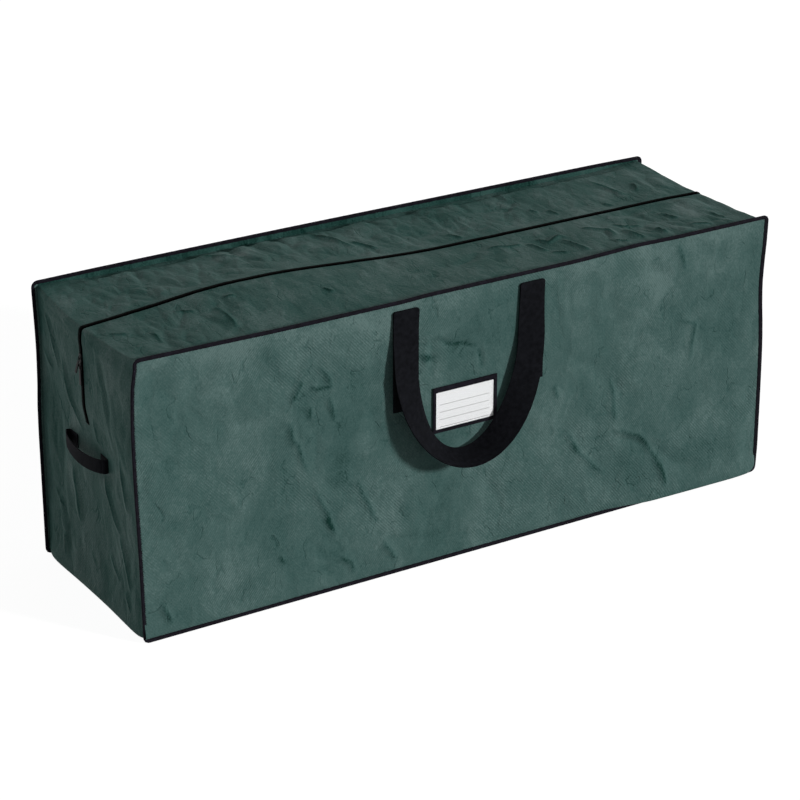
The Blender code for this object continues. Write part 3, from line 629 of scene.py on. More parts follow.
def settle(x, y, z, nx, nz, folds, lift=0.0):
    """Move points of the straight gusset to the filled bag's; nx and nz point outwards."""
    side = np.sign(x)
    off_seam = 1 - np.exp(-np.clip(SEAM_Y - np.abs(y), 0, 1) / SEAM_EASE)
    off_ground = z - BOTTOM_Z
    near_end = smooth((np.abs(x) - 0.57) / 0.055)
    out = nx * side * end_swell(y, z)
    # The photograph shows the left end's upper fold pushed out where the zip crosses it
    head = HEAD_SWELL * (x < 0) * off_seam * np.cos(math.pi * y / (2 * PANEL_Y)) * near_end
    head = head * smooth((z - HEAD_LOW) / (TOP_Z - HEAD_LOW))
    foot = FOOT_SWELL * off_seam * np.exp(-off_ground / FOOT_EASE) * near_end
    rise = crown(x, y) * fade(z, CROWN_FADE)
    sink = SINK * off_seam * np.exp(-off_ground / SINK_EASE)
    dx, dz = edge_waves(x, y, z)
    dz = dz - np.maximum(dz, 0) * np.clip(nz, 0, 1) * low_seam(x, y)
    push = folds + lift
    return stacked(x + side * (np.abs(out) + foot + head) + nx * push + dx, y,
                   z + rise - sink + nz * push + dz)


print("the middle of the bottom settles to z = %.4f"
      % settle(*[np.array([v]) for v in (0, 0, BOTTOM_Z, 0, -1, 0)])[0, 2])

# %% [markdown]
# Creased laminate looks like crumpled paper: flat facets that meet in sharp lines, over soft rolls. A
# Voronoi pattern has such facets: the difference between the two nearest distances falls to zero on
# the borders of its cells. Soft noise warps it, and a slow noise leaves some areas calm.

# %% Rolls and crumples
# The warping noise draws its offsets from this seed, so that each run gives the same folds
NOISE_SEED = 7
noise.seed_set(NOISE_SEED)


def rolls(points, size, seed):
    """Return soft waves from -1 to 1, about a size apart."""
    shift = Vector((seed * 7.3, seed * 3.1, seed * 5.7))
    return np.array([noise.noise(Vector(p) / size + shift) for p in points])


def crumples(points, size, seed, bend=0.35):
    """Return facets from 0 on their borders to about 0.5, each about a size across."""
    shift = Vector((seed * 2.9, seed * 6.1, seed * 4.3))
    values = []
    for point in points:
        spot = Vector(point) / size + shift
        spot += noise.noise_vector(spot * 0.8) * bend
        near = noise.voronoi(spot)[0]
        values.append(min(near[1] - near[0], 0.5))
    return np.array(values)


# Across and height of the wide and the narrow rolls, then of the large and the small facets
PANEL_FOLDS = ((0.21, 0.0030), (0.08, 0.0014), (0.115, 0.0060), (0.043, 0.0022))
GUSSET_FOLDS = ((0.15, 0.0050), (0.06, 0.0022), (0.095, 0.0105), (0.038, 0.0040))
FACET_MIDDLE = 0.25


def crumpled(points, seed, folds, area, area_share):
    """Return rolls, and facets that stand out in areas about that size and are low between them."""
    (wide, wide_high), (narrow, narrow_high), (large, large_high), (small, small_high) = folds
    patch = smooth((rolls(points, area, seed + 5) + area_share) / 0.4)
    height = wide_high * rolls(points, wide, seed) + narrow_high * rolls(points, narrow, seed + 1)
    height += patch * large_high * (crumples(points, large, seed + 2) - FACET_MIDDLE)
    height += (0.3 + 0.7 * patch) * small_high * (crumples(points, small, seed + 3) - FACET_MIDDLE)
    return height


print("folds on the panels up to %.1f mm, on the gusset up to %.1f mm"
      % tuple(1000 * max(high for _, high in folds) for folds in (PANEL_FOLDS, GUSSET_FOLDS)))

# %% [markdown]
# The longest creases in the photograph are drawn one by one, as strokes through a few points. The
# sheet is also painted darker along them in thin lines, as painted shade in the creases, and wide places
# are painted darker as shade and lighter as sheen. A darkening below zero is a place that is lighter than
# the rest.

# %% Single creases, and painted shade and sheen
def strokes(across, up, creases):
    """Return the height of single creases, each the points it goes through, a half width, a height."""
    total = np.zeros_like(across)
    for points, half, height in creases:
        points = np.array(points)
        steps = np.linalg.norm(np.diff(points, axis=0), axis=1)
        starts = np.cumsum(steps) - steps
        ridge = np.zeros_like(across)
        for (x0, z0), (x1, z1), start, step in zip(points, points[1:], starts, steps):
            t = np.clip(((across - x0) * (x1 - x0) + (up - z0) * (z1 - z0)) / step ** 2, 0, 1)
            off = np.hypot(across - x0 - t * (x1 - x0), up - z0 - t * (z1 - z0))
            taper = 1 - (2 * (start + t * step) / steps.sum() - 1) ** 4
            ridge = np.maximum(ridge, taper * np.clip(1 - off / half, 0, 1) ** 1.3)
        total += height * ridge
    return total


# Each crease is painted darker along a thin line, as painted shade in its fold
CREASE_LINE = 0.0056
CREASE_SHADE_SHARE = 0.30
SHAKE_SIZE = 0.035
SHAKE = 0.005


def crooked(across, up):
    """Return the same places, moved a little so that a straight stroke is drawn by hand."""
    moved = [noise.noise_vector(Vector((a, b, 0)) / SHAKE_SIZE)[:2] for a, b in zip(across, up)]
    moved = np.array(moved).reshape(-1, 2)
    return across + SHAKE * moved[:, 0], up + SHAKE * moved[:, 1]


def painted_shade_and_sheen(across, up, creases, shade_and_sheen):
    """Return the painted darkening: shade along the creases, and wide places of shade and sheen."""
    across, up = crooked(across, up)
    lines = [(points, CREASE_LINE, CREASE_SHADE_SHARE) for points, _, height in creases if height > 0]
    return strokes(across, up, lines) + strokes(across, up, shade_and_sheen)


def outside(a, b, box, margin):
    """Return 0 inside a rectangle, rising to 1 a margin outside it."""
    (a0, b0), (a1, b1) = box
    off_a = np.maximum(np.maximum(a0 - a, a - a1), 0)
    off_b = np.maximum(np.maximum(b0 - b, b - b1), 0)
    return smooth(np.hypot(off_a, off_b) / margin)


def strokes_from(rows, unit=1.0):
    """Return strokes from rows of half width, height in a unit, and x and y in turn, in millimetres."""
    return [([(a / 1000, b / 1000) for a, b in zip(spots[::2], spots[1::2])], half / 1000, high * unit)
            for half, high, *spots in rows]


print("a crease is drawn as a line %.1f mm wide" % (2000 * CREASE_LINE))

# %% [markdown]
# The sewn pieces hold the cloth flat: two legs of the handle, the label pocket and the end tabs.

# %% Where the cloth is held flat
HANDLE_SHIFT = -0.005
HANDLE_SPREAD = 0.254
HANDLE_FOLD = 0.486
LEG_BOTTOM = 0.304
STRAP_WIDTH = 0.050
LABEL_SHIFT = -0.0135
LABEL_WIDTH = 0.130
LABEL_BOTTOM = 0.247
LABEL_TOP = 0.332
LEG_SPOTS = [HANDLE_SHIFT + hand * HANDLE_SPREAD / 2 for hand in (-1, 1)]
LEG_BOXES = [((x - STRAP_WIDTH / 2, LEG_BOTTOM), (x + STRAP_WIDTH / 2, HANDLE_FOLD))
             for x in LEG_SPOTS]
LABEL_BOX = ((LABEL_SHIFT - LABEL_WIDTH / 2, LABEL_BOTTOM),
             (LABEL_SHIFT + LABEL_WIDTH / 2, LABEL_TOP))
TAB_BOX = ((-0.088, 0.254), (0.100, 0.288))
CARD_RISE = 0.080
CARD_WAY = ((LABEL_BOX[0][0], LABEL_TOP), (LABEL_BOX[1][0], LABEL_TOP + CARD_RISE))
print("the label pocket is %.0f mm wide and %.0f mm high"
      % (1000 * LABEL_WIDTH, 1000 * (LABEL_TOP - LABEL_BOTTOM)))

# %% [markdown]
# The creases were read from the photograph, on the bag's own planes. A row holds half a crease's width
# and its height, then the places that it goes through: x and z on the front, x and y on the top, y and
# z on the left end, all in millimetres. A place of painted shade and sheen has the share that it darkens
# by for a height.

# %% Creases, and places of painted shade and sheen
FRONT_CREASES = strokes_from([
    (9, 2.2, -355, 366, -340, 392, -327, 406), (9, 2, -301, 420, -286, 404, -278, 378),
    (7, 1.6, -319, 391, -296, 383, -272, 378), (8, 2, -283, 366, -276, 338, -271, 313),
    (8, 1.6, -317, 356, -320, 328), (9, 1.8, -371, 336, -356, 329, -352, 300, -345, 294, -321, 235),
    (10, 1.8, -311, 199, -288, 149, -269, 102), (10, 1.8, -231, 200, -211, 159, -190, 106),
    (11, 2.4, -182, 66, -162, 45, -152, 27), (11, 2.2, -264, 61, -240, 45, -236, 22),
    (8, 1.4, -290, 143, -277, 119), (8, 1.6, -383, 97, -371, 78), (10, 2.4, -602, 66, -582, 27),
    (8, 1.8, -74, 427, -48, 408, -14, 398, 15, 389), (9, 1.4, 15, 385, 22, 347),
    (8, 1.8, -110, 405, -74, 385, -106, 390), (9, 1.6, 173, 284, 185, 251),
    (10, 1.8, 201, 188, 233, 131, 288, 80), (12, 2.8, 304, 163, 356, 145, 392, 92, 422, 35),
    (12, 1.4, 298, 273, 302, 238, 308, 174), (12, 1.4, 445, 343, 481, 330, 467, 261),
    (10, 1.2, 435, 492, 451, 438), (10, 1.6, 403, 85, 420, 32), (8, 1.4, 214, 159, 225, 134),
    (14, -1.4, 364, 463, 423, 432), (22, -2.6, 300, 160, 509, 30), (22, -1.6, 220, 320, 360, 215)], 0.001)
# Wide places of painted shade and painted sheen on the front; below zero they are lighter
FRONT_SHADE_AND_SHEEN = strokes_from([
    (100, 0.09, 220, 100, 600, 80), (80, -0.09, 240, 430, 600, 450), (55, 0.07, -590, 420, -595, 220),
    (90, -0.04, -450, 400, -430, 180), (60, 0.04, -250, 260, -235, 140), (30, 0.1, -50, 404, -39, 352),
    (10, 0.22, -106, 397, -80, 388), (40, 0.07, 455, 200, 471, 103), (26, 0.08, 452, 363, 456, 284),
    (32, 0.07, 246, 283, 248, 205), (26, 0.06, 388, 475, 392, 440), (32, 0.07, -267, 245, -252, 194),
    (14, 0.08, -160, 72, -62, 52), (18, 0.06, -117, 171, -135, 92), (22, 0.06, 531, 481, 534, 438),
    (20, 0.05, -300, 400, -285, 390), (20, 0.12, 360, 12, 600, 12)])
TOP_CREASES = strokes_from([
    (10, 3, -113, 167, -95, 120, -79, 62), (12, 3, 478, 145, 490, 100, 498, 56),
    (10, 3, 261, -80, 266, -110, 275, -147), (10, 3, 379, -95, 393, -148),
    (9, 2.4, -333, 173, -299, 134, -264, 107), (8, 2.6, -70, 88, -42, 46),
    (11, 2.4, -425, -66, -419, -100, -422, -141), (10, 3, 324, -55, 353, -88, 356, -114),
    (9, 2, 574, -101, 582, -142), (8, 2, 498, -140, 538, -150), (9, 2.4, 492, -56, 505, -98),
    (9, 2.6, 127, -47, 155, -64, 190, -62), (9, 2.6, 197, -65, 214, -109),
    (8, 2.2, 335, -132, 356, -151), (8, 2.2, 100, 49, 118, 20), (8, 1.8, -484, -39, -457, -60),
    (8, 2.2, 215, -119, 236, -137), (9, 2.6, 224, -50, 234, -77, 268, -60, 279, -72),
    (9, 1.8, -551, -89, -548, -128), (8, 2.4, 383, -64, 398, -81, 428, -90), (8, 2.2, 328, 60, 336, 34),
    (8, 2.2, 298, 81, 308, 61), (9, 2.2, 434, -123, 444, -152), (8, 2, 541, 97, 532, 60),
    (8, 2, 440, 43, 448, 23), (8, 1.4, -605, -53, -588, -73), (8, 1.8, -228, -83, -221, -104),
    (8, 1.8, -397, -47, -372, -50), (11, -2, 200, 120, 270, 100, 300, 130),
    (14, -2, 30, -100, 100, -60)], 0.001)
# Wide places of painted shade and painted sheen on the top
TOP_SHADE_AND_SHEEN = strokes_from([
    (55, 0.12, 110, 130, 216, 125), (50, 0.11, -20, -75, 133, -110), (45, 0.06, 210, -90, 322, -113),
    (36, -0.15, -332, 135, -225, 130), (45, -0.24, 546, -30, 540, -120), (45, -0.11, 449, 85, 531, 100),
    (70, 0.1, -570, 105, -455, 80), (50, 0.05, -300, -120, -210, -110), (14, -0.08, 401, -33, 510, -38),
    (16, -0.06, 246, 158, 300, 100)])
LEFT_CREASES = strokes_from([
    (14, 3, 162, 471, 131, 440, 104, 382), (14, 3.4, 89, 422, 53, 342, 20, 300),
    (12, 2, 179, 397, 134, 371), (12, 3.2, -50, 248, -66, 215, -84, 187, -103, 159),
    (12, 2.4, -118, 305, -130, 262, -141, 217), (14, 3, -101, 160, -121, 115, -137, 69),
    (13, 2.6, 73, 222, 60, 170, 54, 113), (12, 1.8, 122, 73, 117, 30), (10, 2, -111, 60, -138, 32),
    (12, 2.2, -50, 105, -91, 70), (12, 1.8, 16, 82, -9, 50), (9, 2, -28, 344, -40, 298),
    (12, 1.8, 153, 146, 117, 125), (16, -2.4, -72, 470, -103, 369)], 0.001)
# Wide places of painted shade and painted sheen on the left end, lighter streaks along its folds
LEFT_SHADE_AND_SHEEN = strokes_from([
    (60, 0.14, 165, 500, 150, 410), (40, 0.05, 100, 470, 60, 440), (50, 0.06, 170, 360, 120, 100),
    (30, 0.06, 120, 430, 30, 330), (30, -0.05, 40, 440, 30, 400), (50, 0.12, 85, 490, 100, 440),
    (30, -0.06, -50, 250, -50, 170), (30, 0.05, -125, 350, -145, 300), (30, 0.05, 20, 170, 0, 70)])


print("creases on the front, the top and the left end:",
      [len(rows) for rows in (FRONT_CREASES, TOP_CREASES, LEFT_CREASES)])

# %% [markdown]
# The folds of each sheet are those patterns together, fading wherever the cloth is sewn down.

# %% Folds of the panels and the gusset
SEWN_MARGIN = 0.018
CARD_MARGIN = 0.016
SEAM_FADE = 0.030
# The photograph's creases stand out more than their measured heights show, by these shares
FRONT_CREASE_SHARE = 1.7
TOP_CREASE_SHARE = 1.5
LEFT_CREASE_SHARE = 1.3


def panel_folds(x, z, seed, creases):
    """Return how far a flat panel's folds stand proud, fading at the tape and the sewn pieces."""
    height = crumpled(stacked(x, z, 0 * x), seed, PANEL_FOLDS, 0.30, 0.15)
    height += FRONT_CREASE_SHARE * strokes(*crooked(x, z), creases)
    # Where the card slides up in front of the cloth, its folds go inwards
    inwards = 1 - outside(x, z, CARD_WAY, CARD_MARGIN)
    height -= 2 * inwards * np.maximum(height, 0)
    edge = np.minimum(LENGTH / 2 - np.abs(x), np.minimum(z, HEIGHT - z)) - FIN
    height *= smooth(edge / SEAM_FADE)
    for box in (*LEG_BOXES, LABEL_BOX):
        height *= outside(x, z, box, SEWN_MARGIN)
    return height


def gusset_folds(x, y, z, seed):
    """Return how far the gusset's folds stand proud: more on top, less on the ends and below."""
    on_top = smooth((z - 0.46) / 0.04)
    # Tension draws the folds out: across the top, and up and down the ends
    points = stacked(x / 0.72, y / (0.8 + 0.6 * on_top), z / (1.5 - 0.5 * on_top))
    height = crumpled(points, seed, GUSSET_FOLDS, 0.22, 0.25)
    height *= 0.62 + 0.38 * on_top
    top = z > TOP_Z - 0.0005
    left = (x < 0) & (np.abs(x) > END_X - 0.01) & ~top
    height[top] += TOP_CREASE_SHARE * strokes(*crooked(x[top], y[top]), TOP_CREASES)
    height[left] += LEFT_CREASE_SHARE * strokes(*crooked(y[left], z[left]), LEFT_CREASES)
    height *= smooth((SEAM_Y - np.abs(y) - 0.006 * on_top) / SEAM_FADE)
    height *= 0.10 + 0.90 * smooth((np.abs(y) - 0.005) / SEAM_FADE)
    # The folds between the top, the ends and the bottom stay nearly straight
    off_fold = np.maximum(END_X - np.abs(x), TOP_Z - z)
    height *= (0.25 + 0.75 * smooth(off_fold / 0.045)) * smooth((z - BOTTOM_Z) / 0.06)
    ends = np.abs(x) > END_X - 0.03
    return np.where(ends, height * outside(y, z, TAB_BOX, SEWN_MARGIN), height)


print("at the middle of the front the folds stand %.1f mm proud"
      % (1000 * panel_folds(np.zeros(1), np.full(1, HEIGHT / 2), 3, [])[0]))

# %% [markdown]
# ## The panels
#
# The front and the back are flat sheets, cut to the full size of the taped edges. A grid of about
# 4 mm carries the folds; Solidify gives it the thickness of the sheet. At the foot of the front, the
# cloth rolls over its tape, most of all on the right, as it does in the photograph.

# %% Front and back cloth
foot_roll_share = curve_through([
    (-0.60, 0.35), (-0.40, 0.38), (-0.27, 0.12), (0.0, 0.05), (0.14, 0.12), (0.27, 0.30),
    (0.40, 0.95), (0.57, 1.0), (0.605, 0.92), (0.622, 0.55), (0.632, 0.0)])
roll_out_share = curve_through([
    (0.0095, 0), (0.012, 0.55), (0.016, 0.9), (0.022, 1.0), (0.05, 0.8), (0.12, 0.35), (0.25, 0.0)])
roll_down_share = curve_through([
    (0.0095, 0), (0.012, 0.75), (0.016, 1.0), (0.022, 0.8), (0.04, 0.35), (0.08, 0.0)])
ROLL_OUT = 0.0135
ROLL_DOWN = 0.0105
BACK_ROLL_SHARE = 0.25
PANEL_STEP = 0.0041
TAPE_REACH = 0.024


def panel_levels(low, high, step):
    """Return levels that are closer together beside the tape, where the cloth leaves it."""
    near = evenly(low, low + TAPE_REACH, step * 0.6)
    far = evenly(high - TAPE_REACH, high, step * 0.6)
    return [*near, *evenly(low + TAPE_REACH, high - TAPE_REACH, step)[1:-1], *far]


def panel_place(side, seed, creases):
    """Return the placing of a panel's points by x and z; side is -1 for the front."""
    def place(x, z):
        roll = foot_roll_share(x) if side < 0 else BACK_ROLL_SHARE * foot_roll_share(-x)
        # The cloth stays flat beside the upright tapes, so that they show
        beside_tape = smooth((np.abs(x) - 0.575) / 0.050) * smooth((z - 0.016) / 0.030)
        out = ROLL_OUT * roll * roll_out_share(z) * (1 - beside_tape)
        proud = panel_folds(x, z, seed, creases) + out
        dx, dz = edge_waves(x, side * PANEL_Y, z)
        return stacked(x + dx, side * (PANEL_Y + proud), z - ROLL_DOWN * roll * roll_down_share(z) + dz)
    return place


INSIDE_TAPE = 0.0030
panel_us = panel_levels(-LENGTH / 2 + INSIDE_TAPE, LENGTH / 2 - INSIDE_TAPE, PANEL_STEP)
panel_vs = panel_levels(INSIDE_TAPE, HEIGHT - INSIDE_TAPE, PANEL_STEP)
# The back isn't shown, so it has the front's lower creases, mirrored
BACK_CREASES = [([(-x, z) for x, z in points], half, height)
                for points, half, height in FRONT_CREASES if points[0][1] < 0.3]
for name, side, seed, creases, shade_and_sheen in (("front", -1, 3, FRONT_CREASES, FRONT_SHADE_AND_SHEEN),
                                        ("back", 1, 11, BACK_CREASES, [])):
    # The panel's colour gets painted shade along its creases, and painted shade and sheen in wide places
    bm = lay(panel_us, panel_vs, panel_place(side, seed, creases),
             shading=lambda x, z: painted_shade_and_sheen(x, z, creases, shade_and_sheen))
    cloth = make_piece(name + "_cloth", bm, [panel_sheet], CLOTH)
    set_on(cloth, "bag", "woven_sheet", name + "_panel")

# %% [markdown]
# ## The gusset
#
# One strip goes round the bag between the panels: over the top in two halves, down each end and under
# the bottom. Each end's sheet is laid along a path that starts under the bag, turns up round the
# bottom fold, climbs the end and turns in over the top fold, so that the folds are round and closed.

# %% End and bottom cloth
FOLD_RADIUS = 0.0035
UNDER = 0.030
OVER = 0.012
SLOT = 0.0064
GUSSET_SEED = 21
CLIMB = TOP_Z - BOTTOM_Z - 2 * FOLD_RADIUS
QUARTER = math.pi / 2 * FOLD_RADIUS
PATH_MARKS = np.cumsum([0, UNDER - FOLD_RADIUS, QUARTER, CLIMB, QUARTER, OVER - FOLD_RADIUS])


def end_path(side, u):
    """Return the straight gusset's x, z and outward direction at a distance u along an end."""
    under, bottom_turn, top_turn, over = PATH_MARKS[1], PATH_MARKS[2], PATH_MARKS[3], PATH_MARKS[4]
    foot = np.clip((u - under) / QUARTER, 0, 1) * math.pi / 2
    head = np.clip((u - top_turn) / QUARTER, 0, 1) * math.pi / 2
    x = END_X - UNDER + np.minimum(u, under) + FOLD_RADIUS * np.sin(foot)
    z = BOTTOM_Z + FOLD_RADIUS * (1 - np.cos(foot)) + np.clip(u - bottom_turn, 0, CLIMB)
    x = x - FOLD_RADIUS * (1 - np.cos(head)) - np.maximum(u - over, 0)
    z = z + FOLD_RADIUS * np.sin(head)
    turn = foot + head
    return side * x, z, side * np.sin(turn), -np.cos(turn)


def left_shading(y, u):
    """Return the left end's painted shade and sheen, by y and the distance u along it."""
    return painted_shade_and_sheen(y, end_path(-1, u)[1], LEFT_CREASES, LEFT_SHADE_AND_SHEEN)


def top_shading(x, y):
    """Return the top's painted shade and sheen."""
    return 1.35 * painted_shade_and_sheen(x, y, TOP_CREASES, TOP_SHADE_AND_SHEEN)


def on_end(side, lift=0.0):
    """Return the placing of points on an end by y and the distance u along the sheet."""
    def place(y, u):
        x, z, nx, nz = end_path(side, u)
        folds = gusset_folds(x, y, z, GUSSET_SEED)
        return settle(x, y, z, nx, nz, folds, lift)
    return place


def on_top(lift=0.0):
    """Return the placing of points on the top by x and y."""
    def place(x, y):
        folds = gusset_folds(x, y, TOP_Z + 0 * x, GUSSET_SEED)
        return settle(x, y, TOP_Z + 0 * x, 0 * x, 1 + 0 * x, folds, lift)
    return place


def on_bottom(x, y):
    """Place points under the bag, on the ground."""
    folds = np.abs(gusset_folds(x, y, BOTTOM_Z + 0 * x, GUSSET_SEED)) * 0.3
    return settle(x, y, BOTTOM_Z + 0 * x, 0 * x, -1 + 0 * x, -folds)


def height_to_path(z):
    """Return the distance along an end's sheet at a height."""
    return PATH_MARKS[2] + z - BOTTOM_Z - FOLD_RADIUS


half_ys = evenly(SLOT, SEAM_Y, 0.0031)
end_ys = [*(-half_ys[::-1]), *half_ys]
end_us = [*evenly(0, PATH_MARKS[1], 0.006), *evenly(PATH_MARKS[1], PATH_MARKS[2], 0.0012)[1:],
          *evenly(PATH_MARKS[2], height_to_path(ZIP_BOTTOM), 0.0032)[1:],
          *evenly(height_to_path(ZIP_BOTTOM), PATH_MARKS[3], 0.0032)[1:],
          *evenly(PATH_MARKS[3], PATH_MARKS[4], 0.0010)[1:],
          *evenly(PATH_MARKS[4], PATH_MARKS[5], 0.0030)[1:]]


def beside_slot(y, u):
    """Say whether a face is cloth and not the zip's slot."""
    return abs(y) > SLOT or u < height_to_path(ZIP_BOTTOM)


for name, side in HANDS:
    bm = lay(end_ys, end_us, on_end(side), beside_slot, left_shading if side < 0 else None)
    cloth = make_piece(name + "_end_cloth", bm, [gusset_sheet], CLOTH)
    set_on(cloth, "bag", "woven_sheet", name + "_end_panel")

bm = lay(evenly(-END_X + UNDER, END_X - UNDER, 0.0075), evenly(-SEAM_Y, SEAM_Y, 0.0062), on_bottom)
cloth = make_piece("bottom_cloth", bm, [gusset_sheet], CLOTH)
set_on(cloth, "bag", "woven_sheet", "bottom_panel")

# %% [markdown]
# Each half of the top opens with its flap, but its ends stay sewn to the ends of the bag. So each half
# is made as a left and a right piece that meet in the middle.

# %% Top cloth
TOP_EDGE = END_X - OVER


def bend_with_flap(item, node):
    """Bake a piece of a half top in place and hide the flap's CAD node that it stands for."""
    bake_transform(item)
    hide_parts(node)


for (name, side), (hand_name, hand) in [(side, hand) for side in SIDES for hand in HANDS]:
    xs = sorted(hand * evenly(0, TOP_EDGE, 0.0029))
    ys = sorted(side * evenly(SLOT, SEAM_Y, 0.0029))
    bm = lay(xs, ys, on_top(), shading=top_shading)
    cloth = make_piece("top_%s_cloth_%s" % (name, hand_name), bm, [gusset_sheet], CLOTH)
    bend_with_flap(cloth, "top_%s_flap" % name)

# %% [markdown]
# Beside the tape the gusset turns up and its raw edge is sewn between the panel and the tape. This
# turned edge stays on the bag when a flap opens, so it is a narrow strip of its own.

# %% Turned-up seams
TURN_IN = 0.0009
TURN_THICK = 0.0005
TURN_TOP = HEIGHT - 0.0040
TURN_SHADE_SHARE = 0.20
seam_us = evenly(-END_X + 0.003, END_X - 0.003, 0.012)


def turned_place(side):
    """Return the placing of a strip just inside a panel, by x and z."""
    def place(x, z):
        dx, dz = edge_waves(x, side * PANEL_Y, z)
        return stacked(x + dx, side * (PANEL_Y - TURN_IN), z + dz)
    return place


def turned_shading(x, z):
    """Return an even darkening, as the strip lies in the tape's shadow."""
    return TURN_SHADE_SHARE + 0 * x


# The back edge waves upwards by 6 mm, so its strip starts that much lower
for name, side, below in (("front", -1, 0.0060), ("back", 1, 0.0120)):
    seam_vs = evenly(TOP_Z - below, TURN_TOP, 0.0025)
    bm = lay(seam_us, seam_vs, turned_place(side), shading=turned_shading)
    seam = make_piece(name + "_turned_seam", bm, [gusset_sheet], TURN_THICK)
    set_on(seam, "bag", "woven_sheet")

# %% [markdown]
# ## The edge tape
#
# The tape is a narrow strip folded over the joined edges and sewn through. It is thickest at the fold
# and pinched where the stitches pull it in. Its closed outline is laid along the bag's taped edge.

# %% Edge tape
# How far in from the fold each point of half the outline lies, and how far out from the panel
TAPE_PROFILE = [(0.0078, 0.0003), (0.0078, 0.0013), (0.0070, 0.0015), (0.0060, 0.0014),
                (0.0045, 0.0017), (0.0022, 0.0019), (0.0009, 0.0016), (0.0001, 0.0007), (0.0, 0.0)]
# The tape shows wider on the right edge than on the top and the left one, by these shares
LEFT_NARROWER_SHARE = 0.28
TOP_NARROWER_SHARE = 0.16
RIGHT_WIDER_SHARE = 0.12
STITCHED_DEEP = 0.004
PUCKER = 0.0003


def taped_edge():
    """Return the outer line of the taped edge: distance, x, z and the outward direction."""
    flat_x, flat_z = LENGTH / 2 - FIN_RADIUS, HEIGHT / 2 - FIN_RADIUS
    rows = []
    for corner, (cx, cz) in enumerate(((1, 1), (-1, 1), (-1, -1), (1, -1))):
        for turn in np.linspace(0, math.pi / 2, 10):
            angle = corner * math.pi / 2 + turn
            rows.append((cx * flat_x + FIN_RADIUS * math.cos(angle),
                         cz * flat_z + FIN_RADIUS * math.sin(angle) + HEIGHT / 2,
                         math.cos(angle), math.sin(angle)))
    rows.append(rows[0])
    rows = np.array(rows)
    steps = np.hypot(np.diff(rows[:, 0]), np.diff(rows[:, 1]))
    return np.concatenate([[0], np.cumsum(steps)]), rows


EDGE_AT, EDGE_ROWS = taped_edge()
EDGE_LENGTH = float(EDGE_AT[-1])


def along_edge(u):
    """Return x, z and the outward direction at a distance along the taped edge."""
    return [np.interp(u, EDGE_AT, EDGE_ROWS[:, i]) for i in range(4)]


def tape_place(side, profile_at, profile):
    """Return the placing of the tape's outline by the distance along it and round it."""
    def place(u, v):
        x, z, ox, oz = along_edge(u)
        deep = np.interp(v, profile_at, profile[:, 0])
        out = np.interp(v, profile_at, profile[:, 1])
        deep = deep * (1 - LEFT_NARROWER_SHARE * np.clip(-ox, 0, 1)
                       - TOP_NARROWER_SHARE * np.clip(oz, 0, 1) + RIGHT_WIDER_SHARE * np.clip(ox, 0, 1))
        # The stitches pucker the tape's inner edge every 17 mm and its thickness every 23 mm
        pucker = PUCKER * np.sin(u * math.tau / 0.0171) * np.sin(u * math.tau / 0.113)
        deep = deep + pucker * (deep > STITCHED_DEEP)
        out = out * (1 + 0.10 * np.sin(u * math.tau / 0.023 + 1.3 * np.sin(u * 31)))
        y = side * (PANEL_Y + out)
        x, z = x - ox * deep, z - oz * deep
        dx, dz = edge_waves(x, y, z)
        return stacked(x + dx, y, z + dz)
    return place


outer = np.array(TAPE_PROFILE)
profile = np.concatenate([outer, outer[-2::-1] * [1, -1]])
profile = np.concatenate([profile, profile[:1]])
steps = np.hypot(np.diff(profile[:, 0]), np.diff(profile[:, 1]))
profile_at = np.concatenate([[0], np.cumsum(steps)])
edge_us = np.unique(np.concatenate([evenly(0, EDGE_LENGTH, 0.0045), EDGE_AT]).round(6))
for name, side in SIDES:
    bm = lay(edge_us, profile_at, tape_place(side, profile_at, profile))
    bmesh.ops.remove_doubles(bm, verts=bm.verts, dist=WELD)
    bmesh.ops.recalc_face_normals(bm, faces=bm.faces)
    tape = make_piece(name + "_edge_binding", bm, [edge_tape_finish], sharp=math.radians(70))
    set_on(tape, "bag", "edge_tape", name + "_edge_tape")

# %% [markdown]
# A stitch is a short thread lying on the tape. Hundreds are needed, so each is a plain block with its
# edges bevelled once. One helper copies a small shape along a line, turned to follow it.

# %% Stitches
def bevelled_block(size, corner):
    """Return a small block with its edges bevelled once."""
    bm = bmesh.new()
    bmesh.ops.create_cube(bm, size=1)
    bmesh.ops.scale(bm, vec=size, verts=bm.verts)
    bmesh.ops.bevel(bm, geom=bm.edges[:], offset=corner, segments=1, profile=0.5, affect="EDGES",
                    material=-1)
    mesh = bpy.data.meshes.new("block")
    bm.to_mesh(mesh)
    bm.free()
    return mesh


def row_of(shape, spots, alongs, outs):
    """Return a bmesh with one copy of a shape at each spot: its x along the row, its z outwards."""
    bm = bmesh.new()
    count = len(shape.vertices)
    for spot, along, out in zip(spots, alongs, outs):
        bm.from_mesh(shape)
        bm.verts.ensure_lookup_table()
        x = Vector(along).normalized()
        z = (Vector(out) - x * Vector(out).dot(x)).normalized()
        turn = Matrix((x, z.cross(x), z)).transposed().to_4x4()
        bmesh.ops.transform(bm, matrix=Matrix.Translation(spot) @ turn, verts=bm.verts[-count:])
    bpy.data.meshes.remove(shape)
    return bm


STITCH_PITCH = 0.0042
STITCH_DEEP = 0.0062
STITCH_SIZE = (0.0030, 0.0006, 0.0005)
STITCH_CORNER = 0.00015
STITCH_OUT = 0.00155
